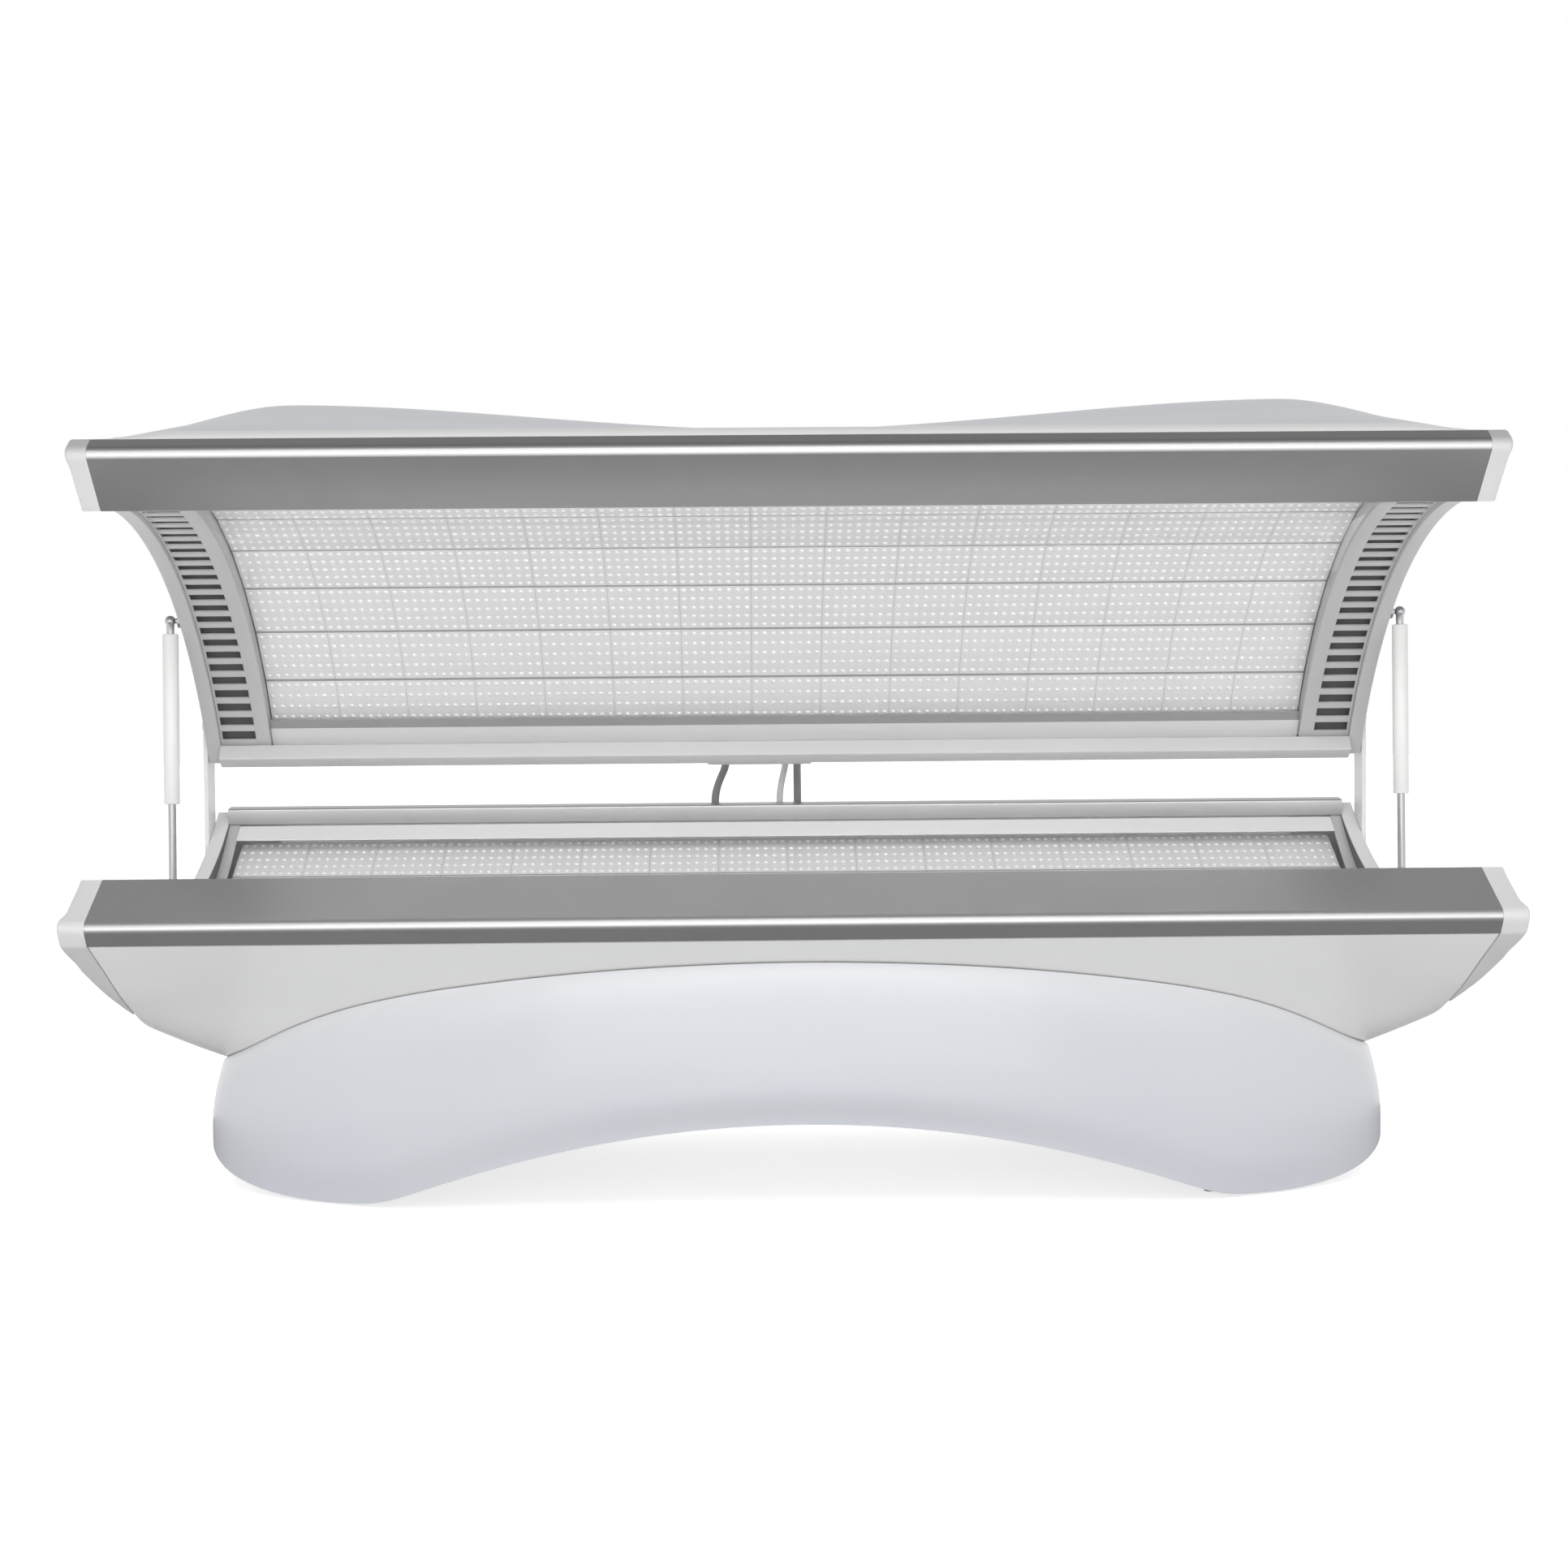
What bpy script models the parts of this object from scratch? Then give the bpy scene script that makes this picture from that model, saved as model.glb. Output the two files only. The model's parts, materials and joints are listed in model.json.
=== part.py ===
"""Clamshell light therapy bed: a tub on an arched oval pedestal and a mirrored canopy on gas springs.

Metres, +Z up, the long side along X, the open front towards -Y, the floor at Z = 0.
Both halves share one cross-section, written as (s, t): s runs from the nose of the front rail to the rear
corner, and t runs outwards, away from the person who lies between the halves.
"""

import math

import bmesh
import bpy
import numpy as np
from mathutils import Matrix, Vector

# Whole object
RAIL_LENGTH = 2.036
CHORD = 0.907
NOSE_HEIGHT = 0.4475
BASE_TILT = math.radians(8.5)
CANOPY_TILT = math.radians(31.8)
GAP = 0.0003

# Front rail: a wedge with a broad face, a round nose and a short under face
BASE_FACE_DEPTH = 0.114
BASE_FACE_RISE = 0.047
CANOPY_FACE_DEPTH = 0.1065
CANOPY_FACE_RISE = 0.0295
FACE_EDGE = 0.010
NOSE_RADIUS = 0.014
NOSE_DROP = 0.003
UNDER_FACE = 0.0285
UNDER_SET_BACK = 0.0105
UNDER_LIP = 0.003
RAIL_FOOT = (0.024, 0.014)
RAIL_FOLD = (0.060, 0.0)
RAIL_WALL = 0.003
CHAMBER_END = (0.012, 0.0195)
CAP_REACH = 0.033
CAP_ROUND = 0.006
CAP_TAIL = 0.25

# Rear rail
REAR_RAIL_DEPTH = 0.032
REAR_RAIL_HEIGHT = 0.030
REAR_RAIL_TOP = 0.007
REAR_RAIL_LAP = 0.043
REAR_RAIL_EDGE = 0.006
REAR_RAIL_WALL = 0.0025

# Tunnel arc, acrylic, lamp panel and tray, as distances outwards from the arc
RIM_SAG = 0.107
RIM_REAR_DROP = 0.004
FRONT_SHARE = 0.012
REAR_SHARE = 0.036
ACRYLIC_DEPTH = 0.012
ACRYLIC_WALL = 0.005
LAMP_DEPTH = 0.040
LAMP_WALL = 0.003
LAMP_END = 0.001
LAMP_ROWS = 7
LAMP_EDGE_SHARE = 0.045
TRAY_WALL = 0.002
TRAY_LIP = 0.024
TRAY_LIP_SHARE = 0.3

# End panels and slotted air vents
PANEL_WIDTH = 0.024
VENT_WIDTH = 0.087
VENT_DEPTH = 0.008
VENT_WALL = 0.003
SLOT_LENGTH = 0.043
SLOT_MARGIN = 0.004
SLOT_WIDTH = 0.016
SLOT_COUNT = 26

# Moulded hulls
HULL_WALL = 0.004
HULL_DEPTH = 0.278
HULL_BACK = -0.004
HULL_SET_BACK = 0.0132
HULL_EDGE_GAP = 0.0027
# Shares of the chord and of the hull's depth that its bowl passes through
HULL_BOWL = (
    (0.099, 0.312),
    (0.217, 0.590),
    (0.367, 0.862),
    (0.551, 0.993),
    (0.728, 0.955),
    (0.871, 0.776),
    (0.976, 0.485),
)
HULL_HEEL = (0.003, 0.187)
HULL_BELLY = 0.078
BELLY_RUN = 0.22
BELLY_END = 0.004
BELLY_SHARE = (0.165, 0.890)
COVER_HUMP = 0.063
COVER_WALL = 0.004
COVER_SET_IN = 0.012
COVER_GAP = 0.0012
HUMP_AT = 0.82
HUMP_END_POWER = 0.32

# Pedestal
PEDESTAL_HALF_LENGTH = 0.930
PEDESTAL_SET_IN = 0.0685
PEDESTAL_SET_BACK = 0.0165
PEDESTAL_HALF_DEPTH = CHORD / 2 - PEDESTAL_SET_IN
PEDESTAL_CENTRE = CHORD / 2 + PEDESTAL_SET_BACK
PEDESTAL_POWER = 1.85
PEDESTAL_FLARE = 0.020
ARCH_HEIGHT = 0.140
ARCH_HALF_SPAN = 0.62
SKIRT_FLOOR_GAP = 0.006
SKIRT_WALL = 0.004
CORNER_RUN = 0.21
CORNER_RISE = 0.090
SKIRT_HEM = 0.012
SKIRT_WIDEST = 0.8
SKIRT_LEVELS = (0.0, 0.12, 0.45, SKIRT_WIDEST, 0.96, 1.0)
SKIRT_SEAM = 0.004
SKIRT_TOP_GAP = 0.0006
SKIRT_SEAT = 1.6
SKIRT_LEAST = 0.060
ARCH_LANDING = 0.016

# Steel frame and feet
FRAME_HALF_LENGTH = 0.69
FRAME_HALF_WIDTH = 0.22
FRAME_TUBE = 0.040
FOOT_SET_IN = 0.045
FOOT_RADIUS = 0.018
FOOT_PAD_RADIUS = 0.026
FOOT_PAD_HEIGHT = 0.014
FOOT_SHOULDER = 0.006

# Canopy hinge and its arms
PIVOT_RISE = 0.150
PIVOT_SET_IN = 0.059
CANOPY_PIVOT_SET_IN = 0.030
CANOPY_PIVOT_DEPTH = 0.070
ARM_WIDTH = 0.056
ARM_WALL = 0.0075
ARM_BELOW = 0.095
PIN_RADIUS = 0.008
PIN_HEAD_RADIUS = 0.014
PIN_HEAD = 0.005

# Gas springs
SPRING_OFFSET = 0.019
SPRING_TOP = (0.606, 0.111)
SPRING_FOOT = (0.601, 0.141)
TUBE_RADIUS = 0.013
TUBE_LENGTH = 0.286
TUBE_PLUG = 0.036
TUBE_EDGE = 0.002
ROD_RADIUS = 0.0065
ROD_IN_TUBE = 0.045
BALL_RADIUS = 0.009
NECK_RADIUS = 0.006
NECK_LENGTH = 0.022
STUD_FLANGE_RADIUS = 0.012
STUD_FLANGE = 0.005
STUD_PIN_RADIUS = 0.0045

# Inside
FAN_SIDE = 0.092
FAN_THICKNESS = 0.025
FAN_HUB_RADIUS = 0.019
FAN_RING = 0.003
FAN_CORNER = 0.008
FAN_BLADES = 7
FAN_BLADE_CLEARANCE = 0.0015
FAN_SPIDER = 0.004
FAN_SPIDER_RECESS = 0.0008
FAN_ARM = 0.010
FAN_ARM_TIP = 0.007
FAN_AT = 0.60
DRIVER_SIZE = (0.21, 0.092, 0.048)
DRIVER_AT = 0.22
INLET_SIZE = (0.062, 0.022, 0.046)
INLET_HEIGHT = 0.27
INLET_WALL = 0.004
SOFT_EDGE = 0.003

# Cables between the halves: place along X and radius
CABLES = (("left", -0.118, 0.007), ("middle", -0.010, 0.0045), ("right", 0.022, 0.0065))
GLAND_HEIGHT = 0.018
GLAND_DEPTH = 0.022
GLAND_MARGIN = 0.014
CABLE_STUB = 0.006
CABLE_PULL = 0.10

HALF_LENGTH = RAIL_LENGTH / 2
COVER_REACH = HALF_LENGTH - COVER_SET_IN
SIDES = (("left", -1), ("right", 1))
LAMP_LENGTH = RAIL_LENGTH - 2 * (PANEL_WIDTH + VENT_WIDTH + LAMP_END)
REAR_RAIL_FACE = CHORD - REAR_RAIL_LAP
REAR_RAIL_LOW = REAR_RAIL_HEIGHT - REAR_RAIL_TOP
REAR_EDGE = (REAR_RAIL_FACE + REAR_RAIL_DEPTH, RIM_REAR_DROP)
REAR_RAIL_LENGTH = RAIL_LENGTH - 2 * (PANEL_WIDTH + GAP)
HULL_FRONT = (HULL_SET_BACK, UNDER_FACE + HULL_EDGE_GAP)
HULL_REAR = (CHORD + HULL_BACK, REAR_RAIL_LOW + HULL_WALL)
PIVOT_ON_CANOPY = (CHORD - CANOPY_PIVOT_SET_IN, CANOPY_PIVOT_DEPTH)
TUBE_BORE_DEPTH = TUBE_LENGTH - TUBE_PLUG
GLAND_AT = (REAR_RAIL_FACE + REAR_RAIL_DEPTH + GAP + GLAND_DEPTH / 2, REAR_RAIL_HEIGHT / 2 - REAR_RAIL_TOP)
GLAND_BACK = (GLAND_AT[0] + GLAND_DEPTH / 2, GLAND_AT[1] + GLAND_HEIGHT / 2 - SOFT_EDGE)
DEPTH = GLAND_BACK[0] * math.cos(BASE_TILT) + GLAND_BACK[1] * math.sin(BASE_TILT)
FRONT_Y = -DEPTH / 2


def clear_scene():
    for obj in list(bpy.data.objects):
        bpy.data.objects.remove(obj, do_unlink=True)


clear_scene()
PARTS = bpy.data.collections.new("light_therapy_bed")
CUTTERS = bpy.data.collections.new("cutters")
bpy.context.scene.collection.children.link(PARTS)
bpy.context.scene.collection.children.link(CUTTERS)


def material(name, colour, roughness, metallic=0.0, alpha=1.0):
    made = bpy.data.materials.new(name)
    made.use_nodes = True
    shader = made.node_tree.nodes["Principled BSDF"]
    shader.inputs["Base Color"].default_value = (*colour, 1.0)
    shader.inputs["Roughness"].default_value = roughness
    shader.inputs["Metallic"].default_value = metallic
    shader.inputs["Alpha"].default_value = alpha
    return made


WHITE_ABS = material("white_abs", (0.80, 0.81, 0.83), 0.35)
GREY_ABS = material("light_grey_abs", (0.66, 0.66, 0.66), 0.40)
SATIN_ALUMINIUM = material("satin_aluminium", (0.55, 0.56, 0.57), 0.35, 1.0)
CLEAR_ACRYLIC = material("clear_acrylic", (0.90, 0.92, 0.93), 0.05, 0.0, 0.3)
LAMP_WHITE = material("lamp_board_white", (0.72, 0.73, 0.74), 0.45)
SHEET_STEEL = material("zinc_plated_sheet", (0.50, 0.51, 0.52), 0.40, 1.0)
WHITE_STEEL = material("white_painted_steel", (0.80, 0.80, 0.80), 0.40)
BRIGHT_STEEL = material("bright_steel", (0.65, 0.65, 0.66), 0.20, 1.0)
BLACK_RUBBER = material("black_rubber", (0.03, 0.03, 0.03), 0.70)
BLACK_PLASTIC = material("black_plastic", (0.04, 0.04, 0.045), 0.50)
DARK_SHEATH = material("dark_grey_cable", (0.10, 0.10, 0.11), 0.55)
PALE_SHEATH = material("pale_grey_cable", (0.55, 0.55, 0.55), 0.55)


class Half:
    """One half of the clamshell: where a point (s, t) of the shared cross-section lies in the world."""

    def __init__(self, name, origin, along, outwards, face):
        self.name = name
        self.face_depth, self.face_rise = face
        self.origin = np.array(origin)
        self.along = np.array(along)
        self.outwards = np.array(outwards)

    def place(self, s, t):
        """The (y, z) of section points, as arrays or as numbers."""
        y = self.origin[0] + self.along[0] * s + self.outwards[0] * t
        z = self.origin[1] + self.along[1] * s + self.outwards[1] * t
        return y, z

    def outline(self, points):
        return [self.place(s, t) for s, t in points]


BASE = Half(
    "base",
    (FRONT_Y, NOSE_HEIGHT),
    (math.cos(BASE_TILT), math.sin(BASE_TILT)),
    (math.sin(BASE_TILT), -math.cos(BASE_TILT)),
    (BASE_FACE_DEPTH, BASE_FACE_RISE),
)
REAR_CORNER = BASE.place(CHORD, 0.0)
PIVOT = (REAR_CORNER[0] - PIVOT_SET_IN, REAR_CORNER[1] + PIVOT_RISE)
CANOPY_ALONG = (math.cos(CANOPY_TILT), -math.sin(CANOPY_TILT))
CANOPY_OUT = (math.sin(CANOPY_TILT), math.cos(CANOPY_TILT))
CANOPY = Half(
    "canopy",
    (
        PIVOT[0] - PIVOT_ON_CANOPY[0] * CANOPY_ALONG[0] - PIVOT_ON_CANOPY[1] * CANOPY_OUT[0],
        PIVOT[1] - PIVOT_ON_CANOPY[0] * CANOPY_ALONG[1] - PIVOT_ON_CANOPY[1] * CANOPY_OUT[1],
    ),
    CANOPY_ALONG,
    CANOPY_OUT,
    (CANOPY_FACE_DEPTH, CANOPY_FACE_RISE),
)
HALVES = (BASE, CANOPY)


def link(obj, finish, smooth_angle=35.0):
    """Puts an object among the parts with its material."""
    PARTS.objects.link(obj)
    obj.data.materials.append(finish)
    if obj.type == "MESH":
        obj.data.shade_smooth()
        obj.data.set_sharp_from_angle(angle=math.radians(smooth_angle))
    return obj


def smooth_step(x):
    x = np.clip(x, 0.0, 1.0)
    return x * x * (3 - 2 * x)


def through(points, count):
    """A smooth curve through a few points: Catmull-Rom, read at count even steps of its parameter."""
    points = np.array(points)
    ends = np.vstack([2 * points[0] - points[1], points, 2 * points[-1] - points[-2]])
    u = np.linspace(0, len(points) - 1, count)
    i = np.minimum(u.astype(int), len(points) - 2)
    f = (u - i)[:, None]
    a, b, c, d = (ends[i + k] for k in range(4))
    return 0.5 * (2 * b + (c - a) * f + (2 * a - 5 * b + 4 * c - d) * f**2 + (3 * b - a - 3 * c + d) * f**3)


def sheet(name, grid, inside, wall, finish, holes=None, outwards=False):
    """A lofted surface from a grid of points, turned away from the point inside, given a wall by Solidify."""
    rows, columns = grid.shape[:2]
    mesh = bpy.data.meshes.new(name)
    work = bmesh.new()
    verts = [[work.verts.new(grid[i, j]) for j in range(columns)] for i in range(rows)]
    for i in range(rows - 1):
        for j in range(columns - 1):
            if holes is None or not holes[i, j]:
                work.faces.new((verts[i][j], verts[i + 1][j], verts[i + 1][j + 1], verts[i][j + 1]))
    loose = [vert for vert in work.verts if not vert.link_faces]
    bmesh.ops.delete(work, geom=loose, context="VERTS")
    work.normal_update()
    away = sum((face.calc_center_median() - Vector(inside)).dot(face.normal) for face in work.faces)
    if away < 0:
        bmesh.ops.reverse_faces(work, faces=work.faces)
    work.to_mesh(mesh)
    work.free()
    obj = link(bpy.data.objects.new(name, mesh), finish)
    shell = obj.modifiers.new("wall", "SOLIDIFY")
    shell.thickness = wall
    shell.offset = 1.0 if outwards else -1.0
    return obj


def loft(name, rings, finish):
    """A solid through closed rings of points, capped at both ends."""
    mesh = bpy.data.meshes.new(name)
    work = bmesh.new()
    verts = [[work.verts.new(point) for point in ring] for ring in rings]
    count = len(rings[0])
    for low, high in zip(verts, verts[1:]):
        for j in range(count):
            k = (j + 1) % count
            work.faces.new((low[j], low[k], high[k], high[j]))
    work.faces.new(verts[0])
    work.faces.new(verts[-1])
    bmesh.ops.recalc_face_normals(work, faces=work.faces)
    work.to_mesh(mesh)
    work.free()
    return link(bpy.data.objects.new(name, mesh), finish)


def flat(name, outlines, thickness, frame, finish):
    """A flat outline with its holes, a filled 2D curve extruded to a thickness, set in a frame."""
    curve = bpy.data.curves.new(name, "CURVE")
    curve.dimensions = "2D"
    curve.fill_mode = "BOTH"
    curve.extrude = thickness / 2
    for outline in outlines:
        spline = curve.splines.new("POLY")
        spline.points.add(len(outline) - 1)
        for point, (x, y) in zip(spline.points, outline):
            point.co = (x, y, 0.0, 1.0)
        spline.use_cyclic_u = True
    obj = bpy.data.objects.new(name, curve)
    obj.matrix_world = frame
    return link(obj, finish)


def across(middle):
    """The frame of an outline drawn in (y, z) and extruded along X."""
    return Matrix(((0, 0, 1, middle), (1, 0, 0, 0), (0, 1, 0, 0), (0, 0, 0, 1)))


def turned(name, profile, frame, finish, steps=16):
    """A turned piece: a profile of (radius, height) from the top down the outside, carried round by Screw."""
    mesh = bpy.data.meshes.new(name)
    edges = [(i, i + 1) for i in range(len(profile) - 1)]
    mesh.from_pydata([(r, 0.0, h) for r, h in profile], edges, [])
    obj = bpy.data.objects.new(name, mesh)
    obj.matrix_world = frame
    link(obj, finish)
    screw = obj.modifiers.new("turn", "SCREW")
    screw.steps = steps
    screw.render_steps = steps
    screw.use_merge_vertices = True
    screw.merge_threshold = 0.00001
    return obj


def aim(start, direction):
    """A frame at start whose local Z points along direction."""
    turn = Vector(direction).to_track_quat("Z", "Y")
    return Matrix.Translation(start) @ turn.to_matrix().to_4x4()


def ball(centre, radius, low, high, count=7):
    """A round end: points of a profile on a ball, from the angle high down to low."""
    angles = np.radians(np.linspace(high, low, count))
    return [(max(radius * math.cos(a), 0.0), centre + radius * math.sin(a)) for a in angles]


def circle(centre, radius, count=20):
    turns = [2 * math.pi * i / count for i in range(count)]
    return [(centre[0] + radius * math.cos(a), centre[1] + radius * math.sin(a)) for a in turns]


def inset(outline, by):
    """The outline moved inwards along the bisectors of its corners, whichever way it runs."""
    ring = np.array(outline)
    before = ring - np.roll(ring, 1, axis=0)
    after = np.roll(ring, -1, axis=0) - ring
    before /= np.linalg.norm(before, axis=1)[:, None]
    after /= np.linalg.norm(after, axis=1)[:, None]
    y_after = np.roll(ring[:, 1], -1)
    x_after = np.roll(ring[:, 0], -1)
    area = np.sum(ring[:, 0] * y_after - x_after * ring[:, 1])
    normal = np.stack([-(before + after)[:, 1], (before + after)[:, 0]], axis=1) * np.sign(area)
    normal /= np.linalg.norm(normal, axis=1)[:, None]
    across_edge = np.stack([-after[:, 1], after[:, 0]], axis=1)
    stretch = 1 / np.maximum(np.abs(np.sum(normal * across_edge, axis=1)), 0.4)
    return ring + normal * (by * stretch)[:, None]


def outward_normals(line):
    """Unit normals of a section line, away from the tunnel."""
    run = np.gradient(line, axis=0)
    run /= np.linalg.norm(run, axis=1)[:, None]
    return np.stack([-run[:, 1], run[:, 0]], axis=1)


def rim(half, u, outwards):
    """Points of the tunnel arc for u from 0 at the front to 1 at the rear, moved outwards."""
    front = np.array((half.face_depth + 5 * GAP, FACE_EDGE - half.face_rise + 3 * GAP))
    rear = np.array(REAR_EDGE)
    span = np.linalg.norm(rear - front)
    along = (rear - front) / span
    normal = np.array((-along[1], along[0]))
    radius = span**2 / (8 * RIM_SAG) + RIM_SAG / 2
    middle = (front + rear) / 2 - normal * (radius - RIM_SAG)
    reach = math.asin(span / 2 / radius)
    angle = (2 * np.asarray(u, float) - 1) * reach
    out = radius + outwards
    return middle + out * (np.sin(angle)[..., None] * along + np.cos(angle)[..., None] * normal)


def hull_section(x, count=22):
    """The hull's outer line at a place along the bed: a smooth bowl that swells inboard of its ends."""
    points = [
        HULL_FRONT,
        *((along * CHORD, out * HULL_DEPTH) for along, out in HULL_BOWL),
        (HULL_REAR[0] - HULL_HEEL[0], HULL_HEEL[1] * HULL_DEPTH),
        HULL_REAR,
    ]
    line = through(points, count)
    swell = math.sin(math.pi / 2 * np.clip((HALF_LENGTH - BELLY_END - abs(x)) / BELLY_RUN, 0.0, 1.0))
    first, last = BELLY_SHARE
    within = np.clip((line[:, 0] / CHORD - first) / (last - first), 0.0, 1.0)
    line[:, 1] += HULL_BELLY * swell * np.sin(math.pi * within) ** 2
    return line


def hull_stations():
    end = HALF_LENGTH
    swelling = [end - BELLY_END - BELLY_RUN * k for k in np.linspace(0, 1, 8)]
    right = [end, *swelling, swelling[-1] / 2]
    return np.array([-x for x in right] + [0.0] + right[::-1])


def hull_grid(half):
    rows = []
    for x in hull_stations():
        line = hull_section(x)
        y, z = half.place(line[:, 0], line[:, 1])
        rows.append(np.stack([np.full_like(y, x), y, z], axis=1))
    return np.array(rows)


def inside_of(half):
    return (0.0, *half.place(CHORD / 2, 0.0))


def rail_nose(*degrees):
    centre = np.array((NOSE_RADIUS, NOSE_DROP))
    return [centre - NOSE_RADIUS * np.array((math.cos(a), math.sin(a))) for a in np.radians(degrees)]


def rail_back(half, clear=0.0):
    """The inner side of the front rail, from its under face to its broad face, moved off by a clearance."""
    line = np.array((RAIL_FOOT, RAIL_FOLD, (half.face_depth, FACE_EDGE - half.face_rise)))
    return line + clear * outward_normals(line)


def rail_outline(half):
    """The front rail: broad face, arc of the nose, short under face and the slant back inside."""
    lip = [(UNDER_SET_BACK, UNDER_FACE), (UNDER_SET_BACK + UNDER_LIP, UNDER_FACE - UNDER_LIP / 2)]
    nose = rail_nose(66, 40, 15, -10, -28)
    return [(half.face_depth, -half.face_rise), *nose, *lip, *rail_back(half)]


def rail_hollow(half):
    """The chamber along the front rail, which ends above its under face."""
    nose = rail_nose(66, 40, 15, -10)
    return inset([(half.face_depth, -half.face_rise), *nose, CHAMBER_END, *rail_back(half)], RAIL_WALL)


def rear_rail_outline():
    near, far = REAR_RAIL_FACE, REAR_RAIL_FACE + REAR_RAIL_DEPTH
    edge = REAR_RAIL_EDGE
    return [
        (near, edge / 2 - REAR_RAIL_TOP),
        (near + edge / 2, -REAR_RAIL_TOP),
        (far - edge, -REAR_RAIL_TOP),
        (far, edge - REAR_RAIL_TOP),
        (far, REAR_RAIL_LOW),
        (near, REAR_RAIL_LOW - edge / 4),
    ]


def build_rails(half):
    rear_hollow = inset(rear_rail_outline(), REAR_RAIL_WALL)
    for name, length, outline, hollow in (
        ("front_rail", RAIL_LENGTH, rail_outline(half), rail_hollow(half)),
        ("rear_rail", REAR_RAIL_LENGTH, rear_rail_outline(), rear_hollow),
    ):
        outlines = [half.outline(outline), half.outline(hollow)]
        flat(f"{half.name}_{name}", outlines, length, across(0.0), SATIN_ALUMINIUM)


def build_rail_caps(half):
    """End caps of the front rail: they cover its end, run down the edge of the hull and fade out there."""
    under = hull_section(HALF_LENGTH)
    outer = np.vstack([np.array(rail_outline(half)[:7]), under[under[:, 0] < CAP_TAIL]])
    far_in = rail_back(half, CAP_ROUND)[::-1]
    far_in[0] = rail_back(half)[-1]
    keep = np.linspace(0, 1, len(outer))
    inner = np.stack([np.interp(keep, (0.0, 0.30, 0.55), far_in[:, k]) for k in range(2)], axis=1)
    tail = keep > 0.55
    step = outer[tail] - outer[tail][0]
    inner[tail] = far_in[2] + step * 0.96
    reach = CAP_REACH * np.clip((1 - keep) / 0.42, 0.06, 1.0) ** 0.6
    for side, sign in SIDES:
        rings = []
        for a, b, width in zip(outer, inner, reach):
            edge = min(CAP_ROUND, width * 0.4)
            towards = (b - a) / np.linalg.norm(b - a)
            ledge = min(CAP_ROUND, np.linalg.norm(b - a) * 0.3)
            start = HALF_LENGTH + GAP
            section = (
                (a, start),
                (a, start + width - edge),
                (a + towards * ledge, start + width),
                (b - towards * ledge, start + width),
                (b, start + width - edge),
                (b, start),
            )
            rings.append([(sign * x, *half.place(*point)) for point, x in section])
        loft(f"{half.name}_rail_cap_{side}", rings, GREY_ABS)


def panel_outline(half):
    """An end panel: the tunnel arc above, clear of both rails, and the inside of the hull below."""
    under = hull_section(HALF_LENGTH)
    inner = under - (HULL_WALL + 2 * GAP) * outward_normals(under)
    arc = rim(half, np.linspace(0, 1, 25), 0.0)
    return [*arc, *inner[-2:1:-1], *rail_back(half, 10 * GAP)[:2]]


def build_end_panels(half):
    for side, sign in SIDES:
        outlines = [half.outline(panel_outline(half))]
        if half is CANOPY:
            outlines.append(half.outline(circle(PIVOT_ON_CANOPY, PIN_RADIUS + GAP)))
        middle = sign * (HALF_LENGTH - PANEL_WIDTH / 2)
        flat(f"{half.name}_end_panel_{side}", outlines, PANEL_WIDTH, across(middle), GREY_ABS)


def vent_edges():
    outer = HALF_LENGTH - PANEL_WIDTH - GAP
    return outer - VENT_WIDTH, outer


def build_vents(half):
    """Slotted air vents: a curved strip with a row of slots along the tunnel arc at each end."""
    near, far = vent_edges()
    slot_end = far - SLOT_MARGIN
    columns = np.array((near, slot_end - SLOT_LENGTH, slot_end, far))
    length = np.linalg.norm(np.diff(rim(half, np.linspace(0, 1, 200), 0.0), axis=0), axis=1).sum()
    pitch = length * (1 - FRONT_SHARE - REAR_SHARE) / (SLOT_COUNT + 0.5)
    starts = length * FRONT_SHARE + pitch * (np.arange(SLOT_COUNT) + 0.75) - SLOT_WIDTH / 2
    ends = np.sort(np.concatenate([starts, starts + SLOT_WIDTH]))
    u = np.concatenate([[FRONT_SHARE], ends / length, [1 - REAR_SHARE]])
    line = rim(half, u, VENT_DEPTH)
    y, z = half.place(line[:, 0], line[:, 1])
    holes = np.zeros((len(u) - 1, 3), bool)
    holes[1::2, 1] = True
    for side, sign in SIDES:
        grid = np.array([[(sign * x, a, b) for x in columns] for a, b in zip(y, z)])
        sheet(f"{half.name}_vent_{side}", grid, inside_of(half), VENT_WALL, GREY_ABS, holes, outwards=True)


def band(half, u, near, far):
    """A closed outline between two lines that follow the tunnel arc at two distances."""
    return [*rim(half, u, near), *rim(half, u, far)[::-1]]


def row_edges():
    return np.linspace(LAMP_EDGE_SHARE, 1 - LAMP_EDGE_SHARE, LAMP_ROWS + 1)


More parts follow.
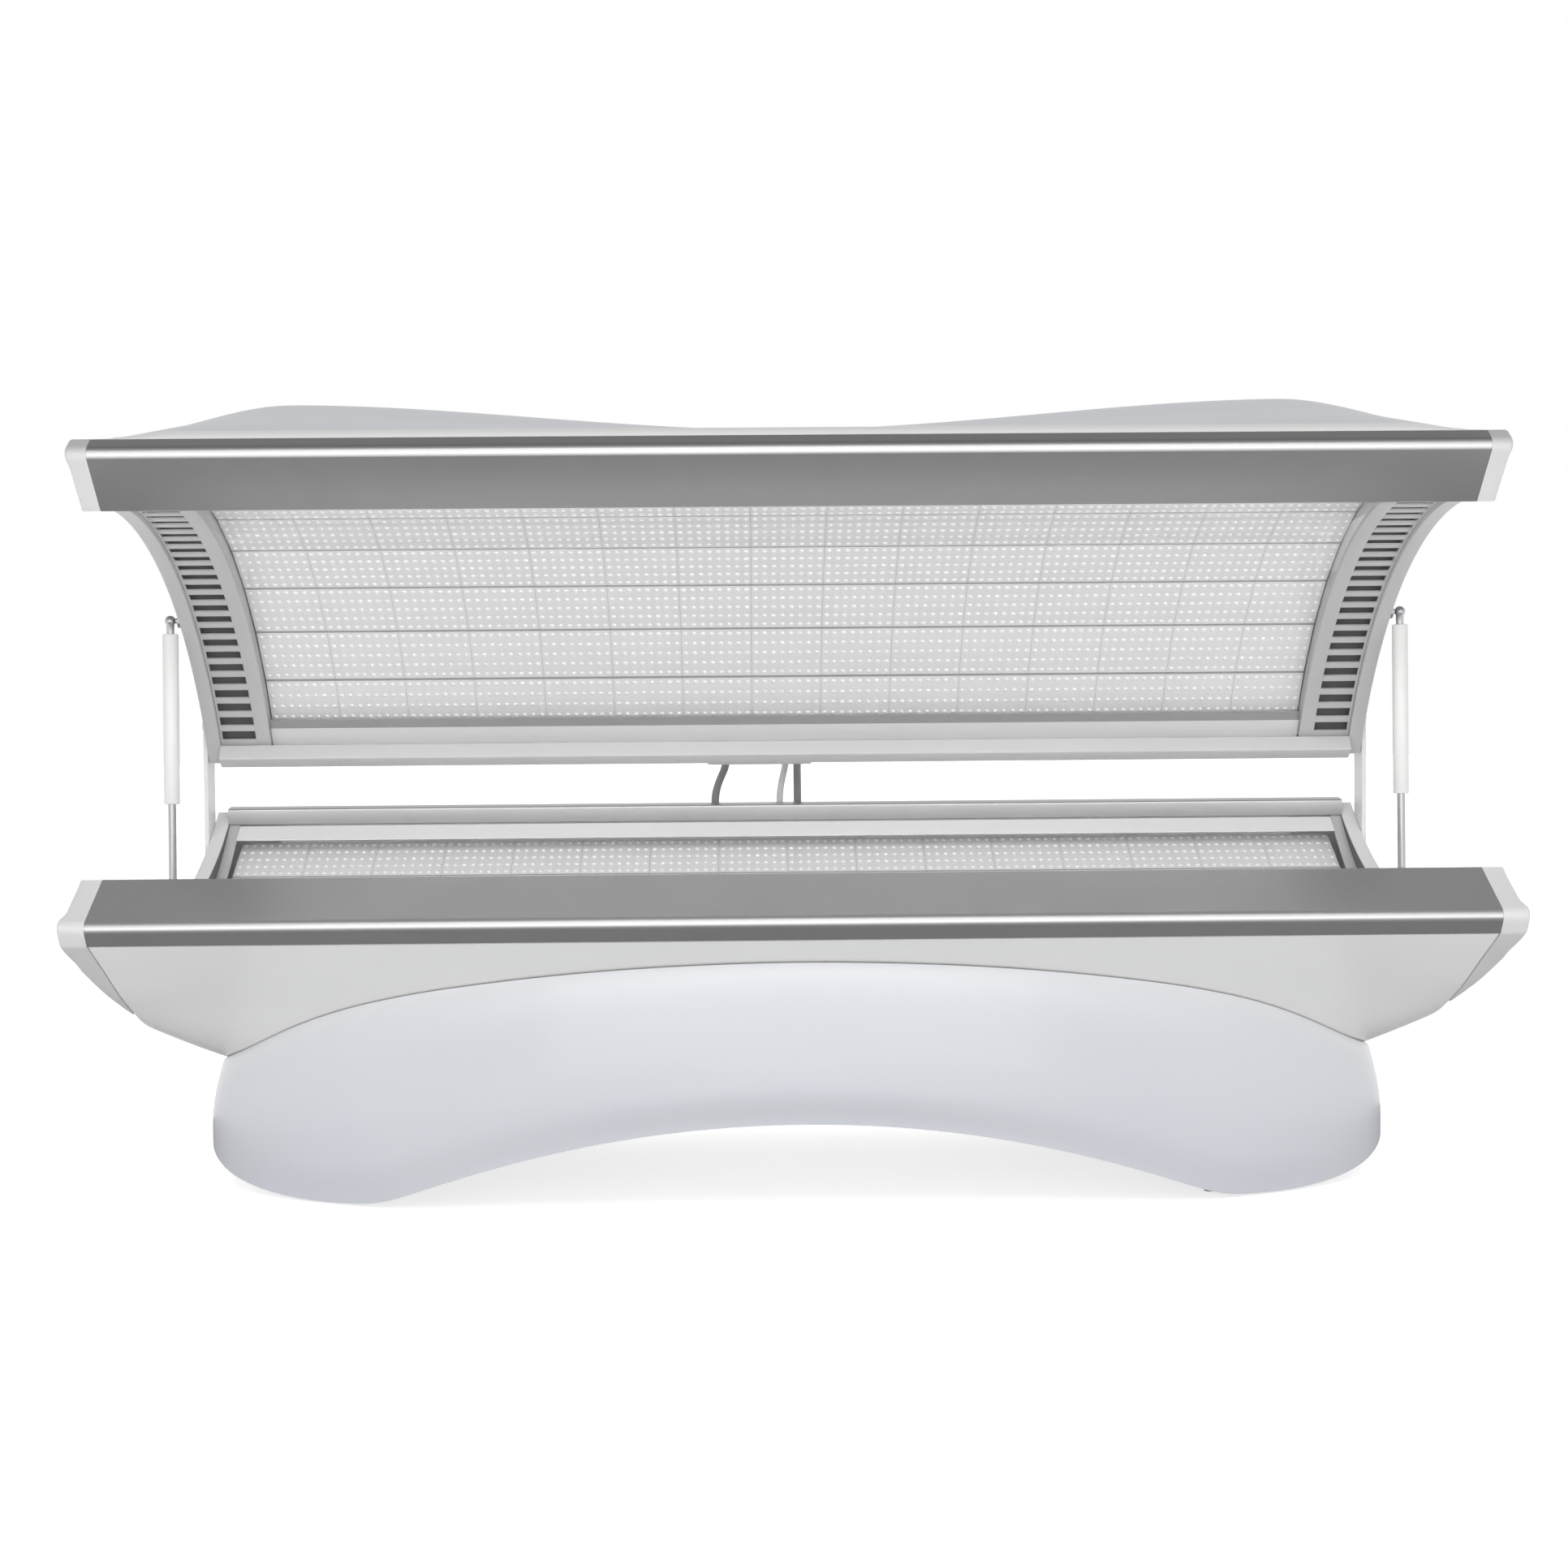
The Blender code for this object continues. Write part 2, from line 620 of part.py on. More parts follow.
def build_lamps(half):
    """The clear sheet, the lamp panel behind it and the folded tray that hangs between the two rails."""
    near, _ = vent_edges()
    width = 2 * (near - GAP)
    steps = np.linspace(FRONT_SHARE, 1 - REAR_SHARE, 25)
    acrylic = band(half, steps, ACRYLIC_DEPTH, ACRYLIC_DEPTH + ACRYLIC_WALL)
    flat(f"{half.name}_acrylic", [half.outline(acrylic)], width, across(0.0), CLEAR_ACRYLIC)
    panel = band(half, row_edges(), LAMP_DEPTH, LAMP_DEPTH + LAMP_WALL)
    flat(f"{half.name}_lamp_panel", [half.outline(panel)], LAMP_LENGTH, across(0.0), LAMP_WHITE)
    deep = LAMP_DEPTH + LAMP_WALL + GAP
    fold, edge = rail_back(half, 2 * GAP)[1:]
    front_lip = fold + (edge - fold) * TRAY_LIP_SHARE
    rear_lip = (REAR_RAIL_FACE + TRAY_LIP, REAR_RAIL_LOW + GAP)
    tray = [
        front_lip,
        *rim(half, row_edges(), deep),
        rear_lip,
        (rear_lip[0] + TRAY_WALL, rear_lip[1]),
        *rim(half, row_edges(), deep + TRAY_WALL)[::-1],
        (front_lip[0] - TRAY_WALL, front_lip[1] + TRAY_WALL),
    ]
    flat(f"{half.name}_lamp_tray", [half.outline(tray)], width, across(0.0), SHEET_STEEL)


def build_hulls():
    for half, name in ((BASE, "base_hull"), (CANOPY, "canopy_shell")):
        sheet(name, hull_grid(half), inside_of(half), HULL_WALL, WHITE_ABS)


def hump(x):
    """The rise of the canopy's cover: low in the middle, two broad humps, and nothing at its ends."""
    out = np.abs(x)
    fall = smooth_step((COVER_REACH - out) / (COVER_REACH - HUMP_AT)) ** HUMP_END_POWER
    return COVER_HUMP * smooth_step(out / HUMP_AT) * fall


def hull_flat(x):
    """The hull's outer line on its own flats, between two of its stations."""
    stations = hull_stations()
    right = int(np.clip(np.searchsorted(stations, x), 1, len(stations) - 1))
    low, high = stations[right - 1], stations[right]
    share = (x - low) / (high - low)
    return hull_section(low) * (1 - share) + hull_section(high) * share


def build_top_cover():
    """The canopy's cover: the shell's own surface, lifted by a wall and by the two humps."""
    swelling = hull_stations()[np.abs(hull_stations()) <= COVER_REACH]
    stations = np.union1d(np.linspace(-COVER_REACH, COVER_REACH, 41), swelling)
    rows = []
    for x in stations:
        line = hull_flat(x)
        line = (line + outward_normals(line) * (COVER_WALL + COVER_GAP))[2:-4]
        along = np.linspace(0, 1, len(line))
        line[:, 1] += hump(x) * np.sin(math.pi * along) ** 0.7
        y, z = CANOPY.place(line[:, 0], line[:, 1])
        rows.append(np.stack([np.full_like(y, x), y, z], axis=1))
    sheet("canopy_top_cover", np.array(rows), inside_of(CANOPY), COVER_WALL, WHITE_ABS)


def pedestal_plan(turn, flare):
    """A point of the pedestal's oval: a superellipse, wider by the flare."""
    c, s = np.cos(turn), np.sin(turn)
    power = 2 / PEDESTAL_POWER
    x = (PEDESTAL_HALF_LENGTH + flare) * np.sign(c) * np.abs(c) ** power
    y = (PEDESTAL_HALF_DEPTH + flare) * np.sign(s) * np.abs(s) ** power
    return x, y + FRONT_Y + PEDESTAL_CENTRE


def skirt_low(x):
    """The skirt's lower edge: an arch between two feet, turned up at the far corners."""
    arch = ARCH_HEIGHT * (1 - (np.abs(x) / ARCH_HALF_SPAN) ** 2)
    landed = 0.5 * (arch + np.sqrt(arch**2 + ARCH_LANDING**2))
    past = np.clip((np.abs(x) - PEDESTAL_HALF_LENGTH) / CORNER_RUN + 1, 0.0, 1.0)
    corner = CORNER_RISE * (1 - np.sqrt(1 - past**2))
    return SKIRT_FLOOR_GAP + landed + corner


def hull_underside(x, y):
    """The height of the hull's outer face over a point of the plan."""
    line = hull_flat(x)
    hull_y, hull_z = BASE.place(line[:, 0], line[:, 1])
    return np.interp(y, hull_y, hull_z)


def skirt_span(turn):
    """The heights of the skirt at one place of the oval: under the hull, and at its lower edge."""
    x, y = pedestal_plan(turn, 0.0)
    inner = pedestal_plan(turn, -SKIRT_SEAT * SKIRT_WALL)
    top = min(hull_underside(x, y), hull_underside(*inner)) - SKIRT_TOP_GAP
    return top, min(skirt_low(x), top - SKIRT_LEAST)


def skirt_flare(level):
    """The skirt's swell from its top, level 0, to its turned-in hem, level 1."""
    swell = PEDESTAL_FLARE * np.sin(math.pi / 2 * np.minimum(level / SKIRT_WIDEST, 1.0))
    return swell - SKIRT_HEM * smooth_step((level - SKIRT_WIDEST) / (1 - SKIRT_WIDEST))


def build_skirts():
    levels = np.array(SKIRT_LEVELS)
    for name, first, last in (("front_skirt", math.pi, 2 * math.pi), ("rear_skirt", 0.0, math.pi)):
        turns = np.linspace(first + SKIRT_SEAM, last - SKIRT_SEAM, 45)
        grid = np.zeros((len(turns), len(levels), 3))
        for i, turn in enumerate(turns):
            top, low = skirt_span(turn)
            grid[i, :, 0], grid[i, :, 1] = pedestal_plan(turn, skirt_flare(levels))
            grid[i, :, 2] = top + (low - top) * levels
        centre = (0.0, FRONT_Y + PEDESTAL_CENTRE, NOSE_HEIGHT / 2)
        sheet(name, grid, centre, SKIRT_WALL, WHITE_ABS)


def hull_floor():
    return hull_grid(BASE)[:, :, 2].min()


def build_frame():
    """A welded ladder frame below the hull, on four feet."""
    top = hull_floor() - GAP
    low = top - FRAME_TUBE
    middle_y = FRONT_Y + PEDESTAL_CENTRE
    length, width, tube = FRAME_HALF_LENGTH, FRAME_HALF_WIDTH, FRAME_TUBE
    bars = np.linspace(-length + tube / 2, length - tube / 2, 4)
    outlines = [[(-length, -width), (length, -width), (length, width), (-length, width)]]
    for a, b in zip(bars, bars[1:]):
        x0, x1 = a + tube / 2, b - tube / 2
        y0, y1 = -width + tube, width - tube
        outlines.append([(x0, y0), (x1, y0), (x1, y1), (x0, y1)])
    place = Matrix.Translation((0.0, middle_y, (top + low) / 2))
    flat("base_frame", outlines, tube, place, WHITE_STEEL)
    foot_y = width - tube / 2
    for row, row_sign in (("front", -1), ("rear", 1)):
        for side, sign in SIDES:
            spot = Matrix.Translation((sign * (length - FOOT_SET_IN), middle_y + row_sign * foot_y, 0.0))
            profile = [
                (0.0, low - GAP),
                (FOOT_RADIUS, low - GAP),
                (FOOT_RADIUS, FOOT_PAD_HEIGHT + FOOT_SHOULDER),
                (FOOT_PAD_RADIUS, FOOT_PAD_HEIGHT),
                (FOOT_PAD_RADIUS, 0.0),
                (0.0, 0.0),
            ]
            turned(f"foot_{row}_{side}", profile, spot, BLACK_RUBBER)


def build_hinge():
    start = HALF_LENGTH + GAP
    radius = ARM_WIDTH / 2
    low = PIVOT[1] - PIVOT_RISE - ARM_BELOW
    turns = np.radians(np.arange(0, 181, 15))
    round_top = [(PIVOT[0] + radius * math.cos(a), PIVOT[1] + radius * math.sin(a)) for a in turns]
    foot = [(PIVOT[0] - radius, low), (PIVOT[0] + radius, low)]
    hole = circle(PIVOT, PIN_RADIUS + GAP)
    for side, sign in SIDES:
        middle = sign * (start + ARM_WALL / 2)
        flat(f"hinge_arm_{side}", [round_top + foot, hole], ARM_WALL, across(middle), WHITE_STEEL)
        length = PANEL_WIDTH + ARM_WALL + 2 * GAP
        profile = [
            (0.0, PIN_HEAD + length),
            (PIN_HEAD_RADIUS, PIN_HEAD + length),
            (PIN_HEAD_RADIUS, length),
            (PIN_RADIUS, length),
            (PIN_RADIUS, 0.0),
            (0.0, 0.0),
        ]
        inner_end = (sign * (HALF_LENGTH - PANEL_WIDTH), *PIVOT)
        turned(f"hinge_pin_{side}", profile, aim(inner_end, (sign, 0, 0)), BRIGHT_STEEL)


def build_springs():
    """Gas springs: tube on the canopy's stud, rod on the base's stud, in one line between the two balls."""
    top = CANOPY.place(*SPRING_TOP)
    foot = BASE.place(*SPRING_FOOT)
    reach = math.dist(top, foot)
    axis = ((foot[0] - top[0]) / reach, (foot[1] - top[1]) / reach)
    tube_end = NECK_LENGTH + TUBE_LENGTH
    for side, sign in SIDES:
        x = sign * (HALF_LENGTH + SPRING_OFFSET)
        frame = aim((x, *top), (0, axis[0], axis[1]))
        tube = [
            (0.0, tube_end - TUBE_BORE_DEPTH),
            (ROD_RADIUS + GAP, tube_end - TUBE_BORE_DEPTH),
            (ROD_RADIUS + GAP, tube_end),
            (TUBE_RADIUS - TUBE_EDGE, tube_end),
            (TUBE_RADIUS, tube_end - TUBE_EDGE),
            (TUBE_RADIUS, NECK_LENGTH + TUBE_EDGE),
            (TUBE_RADIUS - TUBE_EDGE, NECK_LENGTH),
            (NECK_RADIUS, NECK_LENGTH),
            *ball(0.0, BALL_RADIUS, -90, 42),
        ]
        turned(f"gas_spring_tube_{side}", tube, frame, WHITE_STEEL)
        rod = [
            *ball(reach, BALL_RADIUS, -42, 90),
            (NECK_RADIUS, reach - NECK_LENGTH),
            (ROD_RADIUS, reach - NECK_LENGTH),
            (ROD_RADIUS, tube_end - ROD_IN_TUBE),
            (0.0, tube_end - ROD_IN_TUBE),
        ]
        turned(f"gas_spring_rod_{side}", rod, frame, BRIGHT_STEEL)
        for half, spot, name in ((CANOPY, SPRING_TOP, "upper"), (BASE, SPRING_FOOT, "lower")):
            length = SPRING_OFFSET - BALL_RADIUS - 2 * GAP
            profile = [
                (0.0, length),
                (STUD_PIN_RADIUS, length),
                (STUD_PIN_RADIUS, STUD_FLANGE),
                (STUD_FLANGE_RADIUS, STUD_FLANGE),
                (STUD_FLANGE_RADIUS, 0.0),
                (0.0, 0.0),
            ]
            base_point = (sign * (HALF_LENGTH + GAP), *half.place(*spot))
            turned(f"spring_stud_{name}_{side}", profile, aim(base_point, (sign, 0, 0)), BRIGHT_STEEL)


def tray_back(half):
    """The middle flat of the tray's back: its centre, the way across it and the way out of it, in (y, z)."""
    edges = rim(half, row_edges(), LAMP_DEPTH + LAMP_WALL + GAP + TRAY_WALL)
    a, b = edges[LAMP_ROWS // 2], edges[LAMP_ROWS // 2 + 1]
    along = (b - a) / np.linalg.norm(b - a)
    out = np.array((-along[1], along[0]))
    start = np.array(half.place(0.0, 0.0))
    centre = np.array(half.place(*((a + b) / 2)))
    return centre, np.array(half.place(*along)) - start, np.array(half.place(*out)) - start


def tray_frame(half, x, height):
    """A frame on the tray's back, with local X along the bed and local Y across it."""
    centre, along, out = tray_back(half)
    spot = centre + out * height
    axis_y = Vector((0.0, *along))
    axis_x = Vector((1.0, 0.0, 0.0))
    axis_z = axis_x.cross(axis_y)
    frame = Matrix((axis_x, axis_y, axis_z)).transposed().to_4x4()
    frame.translation = (x, *spot)
    return frame


def as_mesh(obj):
    """A curve object made a mesh whose caps are welded, so that it can be joined or cut."""
    graph = bpy.context.evaluated_depsgraph_get()
    mesh = bpy.data.meshes.new_from_object(obj.evaluated_get(graph))
    work = bmesh.new()
    work.from_mesh(mesh)
    bmesh.ops.remove_doubles(work, verts=work.verts, dist=0.00001)
    work.to_mesh(mesh)
    work.free()
    name, place = obj.name, obj.matrix_world.copy()
    finish = obj.data.materials[0]
    bpy.data.objects.remove(obj, do_unlink=True)
    made = bpy.data.objects.new(name, mesh)
    made.matrix_world = place
    made.data.materials.clear()
    return link(made, finish)


def helper(obj):
    """A cutter or a piece that is joined to another: kept out of the parts."""
    PARTS.objects.unlink(obj)
    CUTTERS.objects.link(obj)
    obj.hide_render = True
    obj.display_type = "WIRE"
    return obj


def combine(obj, other, operation):
    step = obj.modifiers.new(operation.lower(), "BOOLEAN")
    step.operation = operation
    step.object = helper(other)
    step.solver = "EXACT"


def blade_ring(radius):
    """The fan rotor seen from above: a hub with swept blades."""
    points = []
    hub = FAN_HUB_RADIUS
    for i in range(FAN_BLADES):
        turn = 2 * math.pi * i / FAN_BLADES
        sweep = 2 * math.pi / FAN_BLADES
        for part, r in ((0.0, hub), (0.20, radius), (0.62, radius), (0.42, hub), (0.75, hub)):
            angle = turn + part * sweep
            points.append((r * math.cos(angle), r * math.sin(angle)))
    return points


def build_fans(half):
    """Cooling fans on the tray's back: a frame with its spider and a bladed rotor on the hub."""
    side = FAN_SIDE / 2
    bore = side - FAN_RING
    cut = side - FAN_CORNER
    square = [(cut, side), (-cut, side), (-side, cut), (-side, -cut)]
    square += [(-x, -y) for x, y in square]
    hub = FAN_HUB_RADIUS - FAN_RING / 2
    arm, tip, reach = FAN_ARM / 2, FAN_ARM_TIP / 2, bore + FAN_RING / 2
    quarter = [(arm, hub), (tip, reach), (-tip, reach), (-arm, hub)]
    cross = []
    for _ in range(4):
        cross += quarter
        quarter = [(-y, x) for x, y in quarter]
    floor = GAP + FAN_SPIDER_RECESS + FAN_SPIDER + GAP
    thick = FAN_THICKNESS - floor - GAP
    for name, sign in SIDES:
        x = sign * FAN_AT
        spot = tray_frame(half, x, GAP + FAN_THICKNESS / 2)
        outlines = [square, circle((0, 0), bore, 24)]
        ring = as_mesh(flat(f"{half.name}_fan_frame_{name}", outlines, FAN_THICKNESS, spot, BLACK_PLASTIC))
        spot = tray_frame(half, x, GAP + FAN_SPIDER_RECESS + FAN_SPIDER / 2)
        spider = as_mesh(flat(f"{half.name}_fan_spider_{name}", [cross], FAN_SPIDER, spot, BLACK_PLASTIC))
        combine(ring, spider, "UNION")
        spot = tray_frame(half, x, floor + thick / 2)
        outline = blade_ring(bore - FAN_BLADE_CLEARANCE)
        flat(f"{half.name}_fan_rotor_{name}", [outline], thick, spot, BLACK_PLASTIC)


def rounded_box(name, size, frame, finish):
    """A box whose edges are softened by Bevel."""
    bpy.ops.mesh.primitive_cube_add(size=1.0)
    obj = bpy.context.object
    obj.name = name
    obj.data.transform(Matrix.Diagonal((*size, 1.0)))
    obj.matrix_world = frame
    for owner in list(obj.users_collection):
        owner.objects.unlink(obj)
    link(obj, finish)
    bevel = obj.modifiers.new("edges", "BEVEL")
    bevel.width = SOFT_EDGE
    bevel.segments = 1
    return obj


def build_drivers():
    for name, sign in SIDES:
        frame = tray_frame(BASE, sign * DRIVER_AT, GAP + DRIVER_SIZE[2] / 2)
        rounded_box(f"lamp_driver_{name}", DRIVER_SIZE, frame, SHEET_STEEL)


def build_inlet():
    """The mains inlet: a shrouded socket on the back of the rear skirt."""
    width, depth, height = INLET_SIZE
    top, low = skirt_span(math.pi / 2)
    heights = top + (low - top) * np.array(SKIRT_LEVELS)
    _, backs = pedestal_plan(math.pi / 2, skirt_flare(np.array(SKIRT_LEVELS)))
    rows = np.linspace(INLET_HEIGHT - height / 2, INLET_HEIGHT + height / 2, 9)
    y = np.interp(rows, heights[::-1], backs[::-1]).max()
    spot = Matrix.Translation((0.0, y + depth / 2 + GAP, INLET_HEIGHT))
    shroud = rounded_box("mains_inlet", INLET_SIZE, spot, BLACK_PLASTIC)
    mouth_size = (width - 2 * INLET_WALL, depth, height - 2 * INLET_WALL)
    spot = Matrix.Translation((0.0, INLET_WALL, 0.0)) @ spot
    mouth = rounded_box("inlet_mouth", mouth_size, spot, BLACK_PLASTIC)
    combine(shroud, mouth, "DIFFERENCE")


def build_cables():
    """Three cables that bridge the rear gap between a gland bar on each half."""
    xs = [x for _, x, _ in CABLES]
    low_x, high_x = min(xs) - GLAND_MARGIN, max(xs) + GLAND_MARGIN
    middle, length = (low_x + high_x) / 2, high_x - low_x
    for half in HALVES:
        turn = Matrix.Rotation(math.atan2(half.along[1], half.along[0]), 4, "X")
        spot = Matrix.Translation((middle, *half.place(*GLAND_AT))) @ turn
        rounded_box(f"{half.name}_cable_gland", (length, GLAND_DEPTH, GLAND_HEIGHT), spot, GREY_ABS)
    for name, x, radius in CABLES:
        leave = np.array(BASE.place(GLAND_AT[0], GLAND_AT[1] - GLAND_HEIGHT / 2 - GAP))
        arrive = np.array(CANOPY.place(GLAND_AT[0] + GLAND_DEPTH / 2 + GAP, GLAND_AT[1]))
        up = -BASE.outwards
        back = CANOPY.along
        start, end = leave + up * CABLE_STUB, arrive + back * CABLE_STUB
        u = np.linspace(0, 1, 11)[:, None]
        middle_run = (
            start * (2 * u**3 - 3 * u**2 + 1) + up * CABLE_PULL * (u**3 - 2 * u**2 + u)
            + end * (3 * u**2 - 2 * u**3) - back * CABLE_PULL * (u**3 - u**2)
        )
        line = np.vstack([leave, middle_run, arrive])
        curve = bpy.data.curves.new(f"cable_{name}", "CURVE")
        curve.dimensions = "3D"
        curve.bevel_depth = radius
        curve.bevel_resolution = 2
        curve.use_fill_caps = True
        spline = curve.splines.new("POLY")
        spline.points.add(len(line) - 1)
        for point, (y, z) in zip(spline.points, line):
            point.co = (x, y, z, 1.0)
        sheath = PALE_SHEATH if name == "middle" else DARK_SHEATH
        link(bpy.data.objects.new(f"cable_{name}", curve), sheath)


def main():
    for half in HALVES:
        build_rails(half)
        build_rail_caps(half)
        build_end_panels(half)
        build_vents(half)
        build_lamps(half)
        build_fans(half)
    build_hulls()
    build_top_cover()
    build_skirts()
    build_frame()
    build_hinge()
    build_springs()
    build_drivers()
    build_inlet()
    build_cables()


main()
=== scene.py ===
"""Looks of the clamshell light therapy bed: moulded skins, brushed rails, lamp boards and studio.

Metres, +Z up, long side along X, open front towards -Y. Both halves share one cross-section in (s, t):
s runs from the nose of the front rail to the rear corner, t runs outwards, away from the tunnel.
"""

import json
import math

import bpy
import numpy as np
from mathutils import Matrix, Vector


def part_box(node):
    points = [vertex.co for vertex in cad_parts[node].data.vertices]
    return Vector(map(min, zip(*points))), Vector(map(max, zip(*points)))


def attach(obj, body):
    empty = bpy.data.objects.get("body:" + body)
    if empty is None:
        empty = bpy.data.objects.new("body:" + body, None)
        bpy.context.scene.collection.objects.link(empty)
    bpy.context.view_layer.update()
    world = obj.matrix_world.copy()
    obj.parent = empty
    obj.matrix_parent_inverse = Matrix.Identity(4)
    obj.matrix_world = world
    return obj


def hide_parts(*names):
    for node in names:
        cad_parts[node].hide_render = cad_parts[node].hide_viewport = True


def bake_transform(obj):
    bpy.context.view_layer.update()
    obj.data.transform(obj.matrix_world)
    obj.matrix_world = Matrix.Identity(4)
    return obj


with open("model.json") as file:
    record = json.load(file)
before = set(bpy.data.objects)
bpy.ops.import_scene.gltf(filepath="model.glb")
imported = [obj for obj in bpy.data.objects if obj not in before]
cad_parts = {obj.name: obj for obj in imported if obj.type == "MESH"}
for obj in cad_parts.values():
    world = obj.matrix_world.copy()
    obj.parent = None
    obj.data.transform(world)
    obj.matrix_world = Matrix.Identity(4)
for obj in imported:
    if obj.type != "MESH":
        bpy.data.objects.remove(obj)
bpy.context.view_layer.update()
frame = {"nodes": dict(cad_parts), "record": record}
SIDES = (("left", -1), ("right", 1))

# Whole object
RAIL_LENGTH = 2.036
HALF_LENGTH = RAIL_LENGTH / 2
CHORD = 0.907
FRONT_Y = -0.4551413
NOSE_HEIGHT = 0.4475
BASE_TILT = math.radians(8.5)
CANOPY_TILT = math.radians(31.8)
GAP = 0.0003
INSET_LEAST = 0.4
ROUND_MOST = 0.45

# Front rail and its end caps
FACE_EDGE = 0.010
NOSE_RADIUS = 0.014
NOSE_DROP = 0.003
UNDER_FACE = 0.0285
UNDER_SET_BACK = 0.0105
UNDER_LIP = 0.003
RAIL_FOOT = (0.024, 0.014)
RAIL_FOLD = (0.060, 0.0)
CAP_ROUND = 0.006
CAP_TAIL = 0.25
CAP_BULGE_AT = 0.128
CAP_BULGE_RUN = (0.030, 0.085)
CAP_TURN_AT = (0.0, 0.22, 0.40)
CAP_TAIL_SHRINK = 0.96
CAP_TAPER = 0.42
CAP_LEAST = 0.004
CAP_TAPER_POWER = 0.75
CAP_EDGE_SHARE = 0.4
NOSE_TURN = (66, -28)

# Rear rail
REAR_RAIL_DEPTH = 0.032
REAR_RAIL_HEIGHT = 0.030
REAR_RAIL_TOP = 0.007
REAR_RAIL_LOW = REAR_RAIL_HEIGHT - REAR_RAIL_TOP
REAR_RAIL_FACE = CHORD - 0.043
REAR_RAIL_EDGE = 0.006

# Tunnel arc and what lies behind it
RIM_SAG = 0.107
REAR_EDGE = (REAR_RAIL_FACE + REAR_RAIL_DEPTH, 0.004)
FRONT_SHARE = 0.012
REAR_SHARE = 0.036
ACRYLIC_DEPTH = 0.012
ACRYLIC_WALL = 0.005
LAMP_DEPTH = 0.040
LAMP_WALL = 0.003
LAMP_ROWS = 7
LAMP_EDGE_SHARE = 0.045
LAMP_GAP = 0.0007
MODULE_GAP = 0.0016
ROW_GAP = 0.0056
SEAM_WIDTH = 0.0052
STRIP_BEHIND = 0.020
RETAINER_SHARE = (0.902, 0.9535)
RETAINER_DEPTH = 0.003
STRIP_WALL = 0.002
STRIP_END = 0.996
FOIL_WALL = 0.001
FOIL_SUNK = 0.0008
JOINT_HALF_WIDTH = MODULE_GAP / 2.2
DIODES_ALONG = 8
DIODES_ACROSS = 5
LENS_RADIUS = 0.0042
LENS_HEIGHT = 0.0022
LENS_SIDES = 8
LENS_SHOULDER = 0.72

# End panels and slotted air vents
PANEL_WIDTH = 0.024
PANEL_ROUND = 0.0016
VENT_WIDTH = 0.087
VENT_DEPTH = 0.008
VENT_WALL = 0.003
SLOT_LENGTH = 0.058
SLOT_MARGIN = 0.004
SLOT_WIDTH = 0.0175
SLOT_COUNT = 26
LINER_BEHIND = 0.014
LINER_OVER = 0.004
BAR_OVERLAP = 0.0004
BAR_SUNK = 0.0001
VENT_SIDE = (0.0002, 0.0022)
VENT_FAR = HALF_LENGTH - PANEL_WIDTH - GAP
VENT_NEAR = VENT_FAR - VENT_WIDTH
STRIP_WIDTH = 0.020
STRIP_DEPTH = (0.003, 0.045)
STRIP_SINK_RUN = 0.35
STRIP_CLEAR = 0.0005
SIDE_WALL = (0.0012, 0.0001)
SIDE_FROM = 0.0025
SIDE_SHORT = 0.0028
SIDE_LEAST = 0.0002

# Moulded hulls, as shares of the chord and of the depth that the bowl passes through
HULL_WALL = 0.004
HULL_END_ROUND = 0.003
HULL_DEPTH = 0.278
HULL_FRONT = (0.0132, UNDER_FACE + 0.0027)
HULL_REAR = (CHORD - 0.004, REAR_RAIL_LOW + HULL_WALL)
HULL_HEEL = (0.003, 0.187)
HULL_BOWL = (
    (0.099, 0.312), (0.217, 0.590), (0.367, 0.862), (0.551, 0.993),
    (0.728, 0.955), (0.871, 0.776), (0.976, 0.485),
)
HULL_BELLY = 0.078
BELLY_RUN = 0.22
BELLY_POWER = 0.8
BELLY_SHARE = (0.165, 0.890)
LIP_AT = 0.027
LIP_HALF_WIDTH = 0.0125
LIP_HEIGHT = 0.014
LIP_RUN = 0.12
LIP_LEAST = 0.02
COVER_HUMP = 0.063
COVER_WALL = 0.004
COVER_GAP = 0.0012
COVER_REACH = HALF_LENGTH - 0.012
COVER_SHARE = (2 / 21, 17 / 21)
HUMP_AT = 0.82
HUMP_END_POWER = 0.32
HUMP_ACROSS_POWER = 0.7

# Pedestal
PEDESTAL_HALF_LENGTH = 0.930
PEDESTAL_HALF_DEPTH = 0.385
PEDESTAL_CENTRE = 0.470
PEDESTAL_POWER = 1.85
PEDESTAL_FLARE = 0.020
ARCH_HEIGHT = 0.140
ARCH_HALF_SPAN = 0.635
ARCH_LANDING = 0.016
SKIRT_FLOOR_GAP = 0.002
SKIRT_WALL = 0.004
SKIRT_ROUND = (0.001, 0.004)
SKIRT_ROUND_FROM = (0.55, 0.80)
# How far below its top the skirt's painted highlight fades away
SKIRT_PAINTED_LIGHT_FALL = 0.035
TUCK_TO = (0.70, 0.90)
PEDESTAL_SET_OVER = 0.009
CORNER_RUN = 0.21
CORNER_RISE = 0.070
SKIRT_HEM = 0.012
SKIRT_EDGE_SHARE = 0.06
SKIRT_MIDDLE = (0.09, 0.90)
HEM_SHARE = 0.09
HEM_FROM = 0.3
SKIRT_WIDEST = 0.8
SKIRT_SEAM = 0.004
SKIRT_TOP_GAP = 0.0004
SKIRT_LEAST = 0.060
FOOT_RADII = (0.011, 0.009)
FOOT_EDGE = 0.002
FOOT_PAD_HEIGHT = 0.012
FOOT_STEM_FROM = 0.018

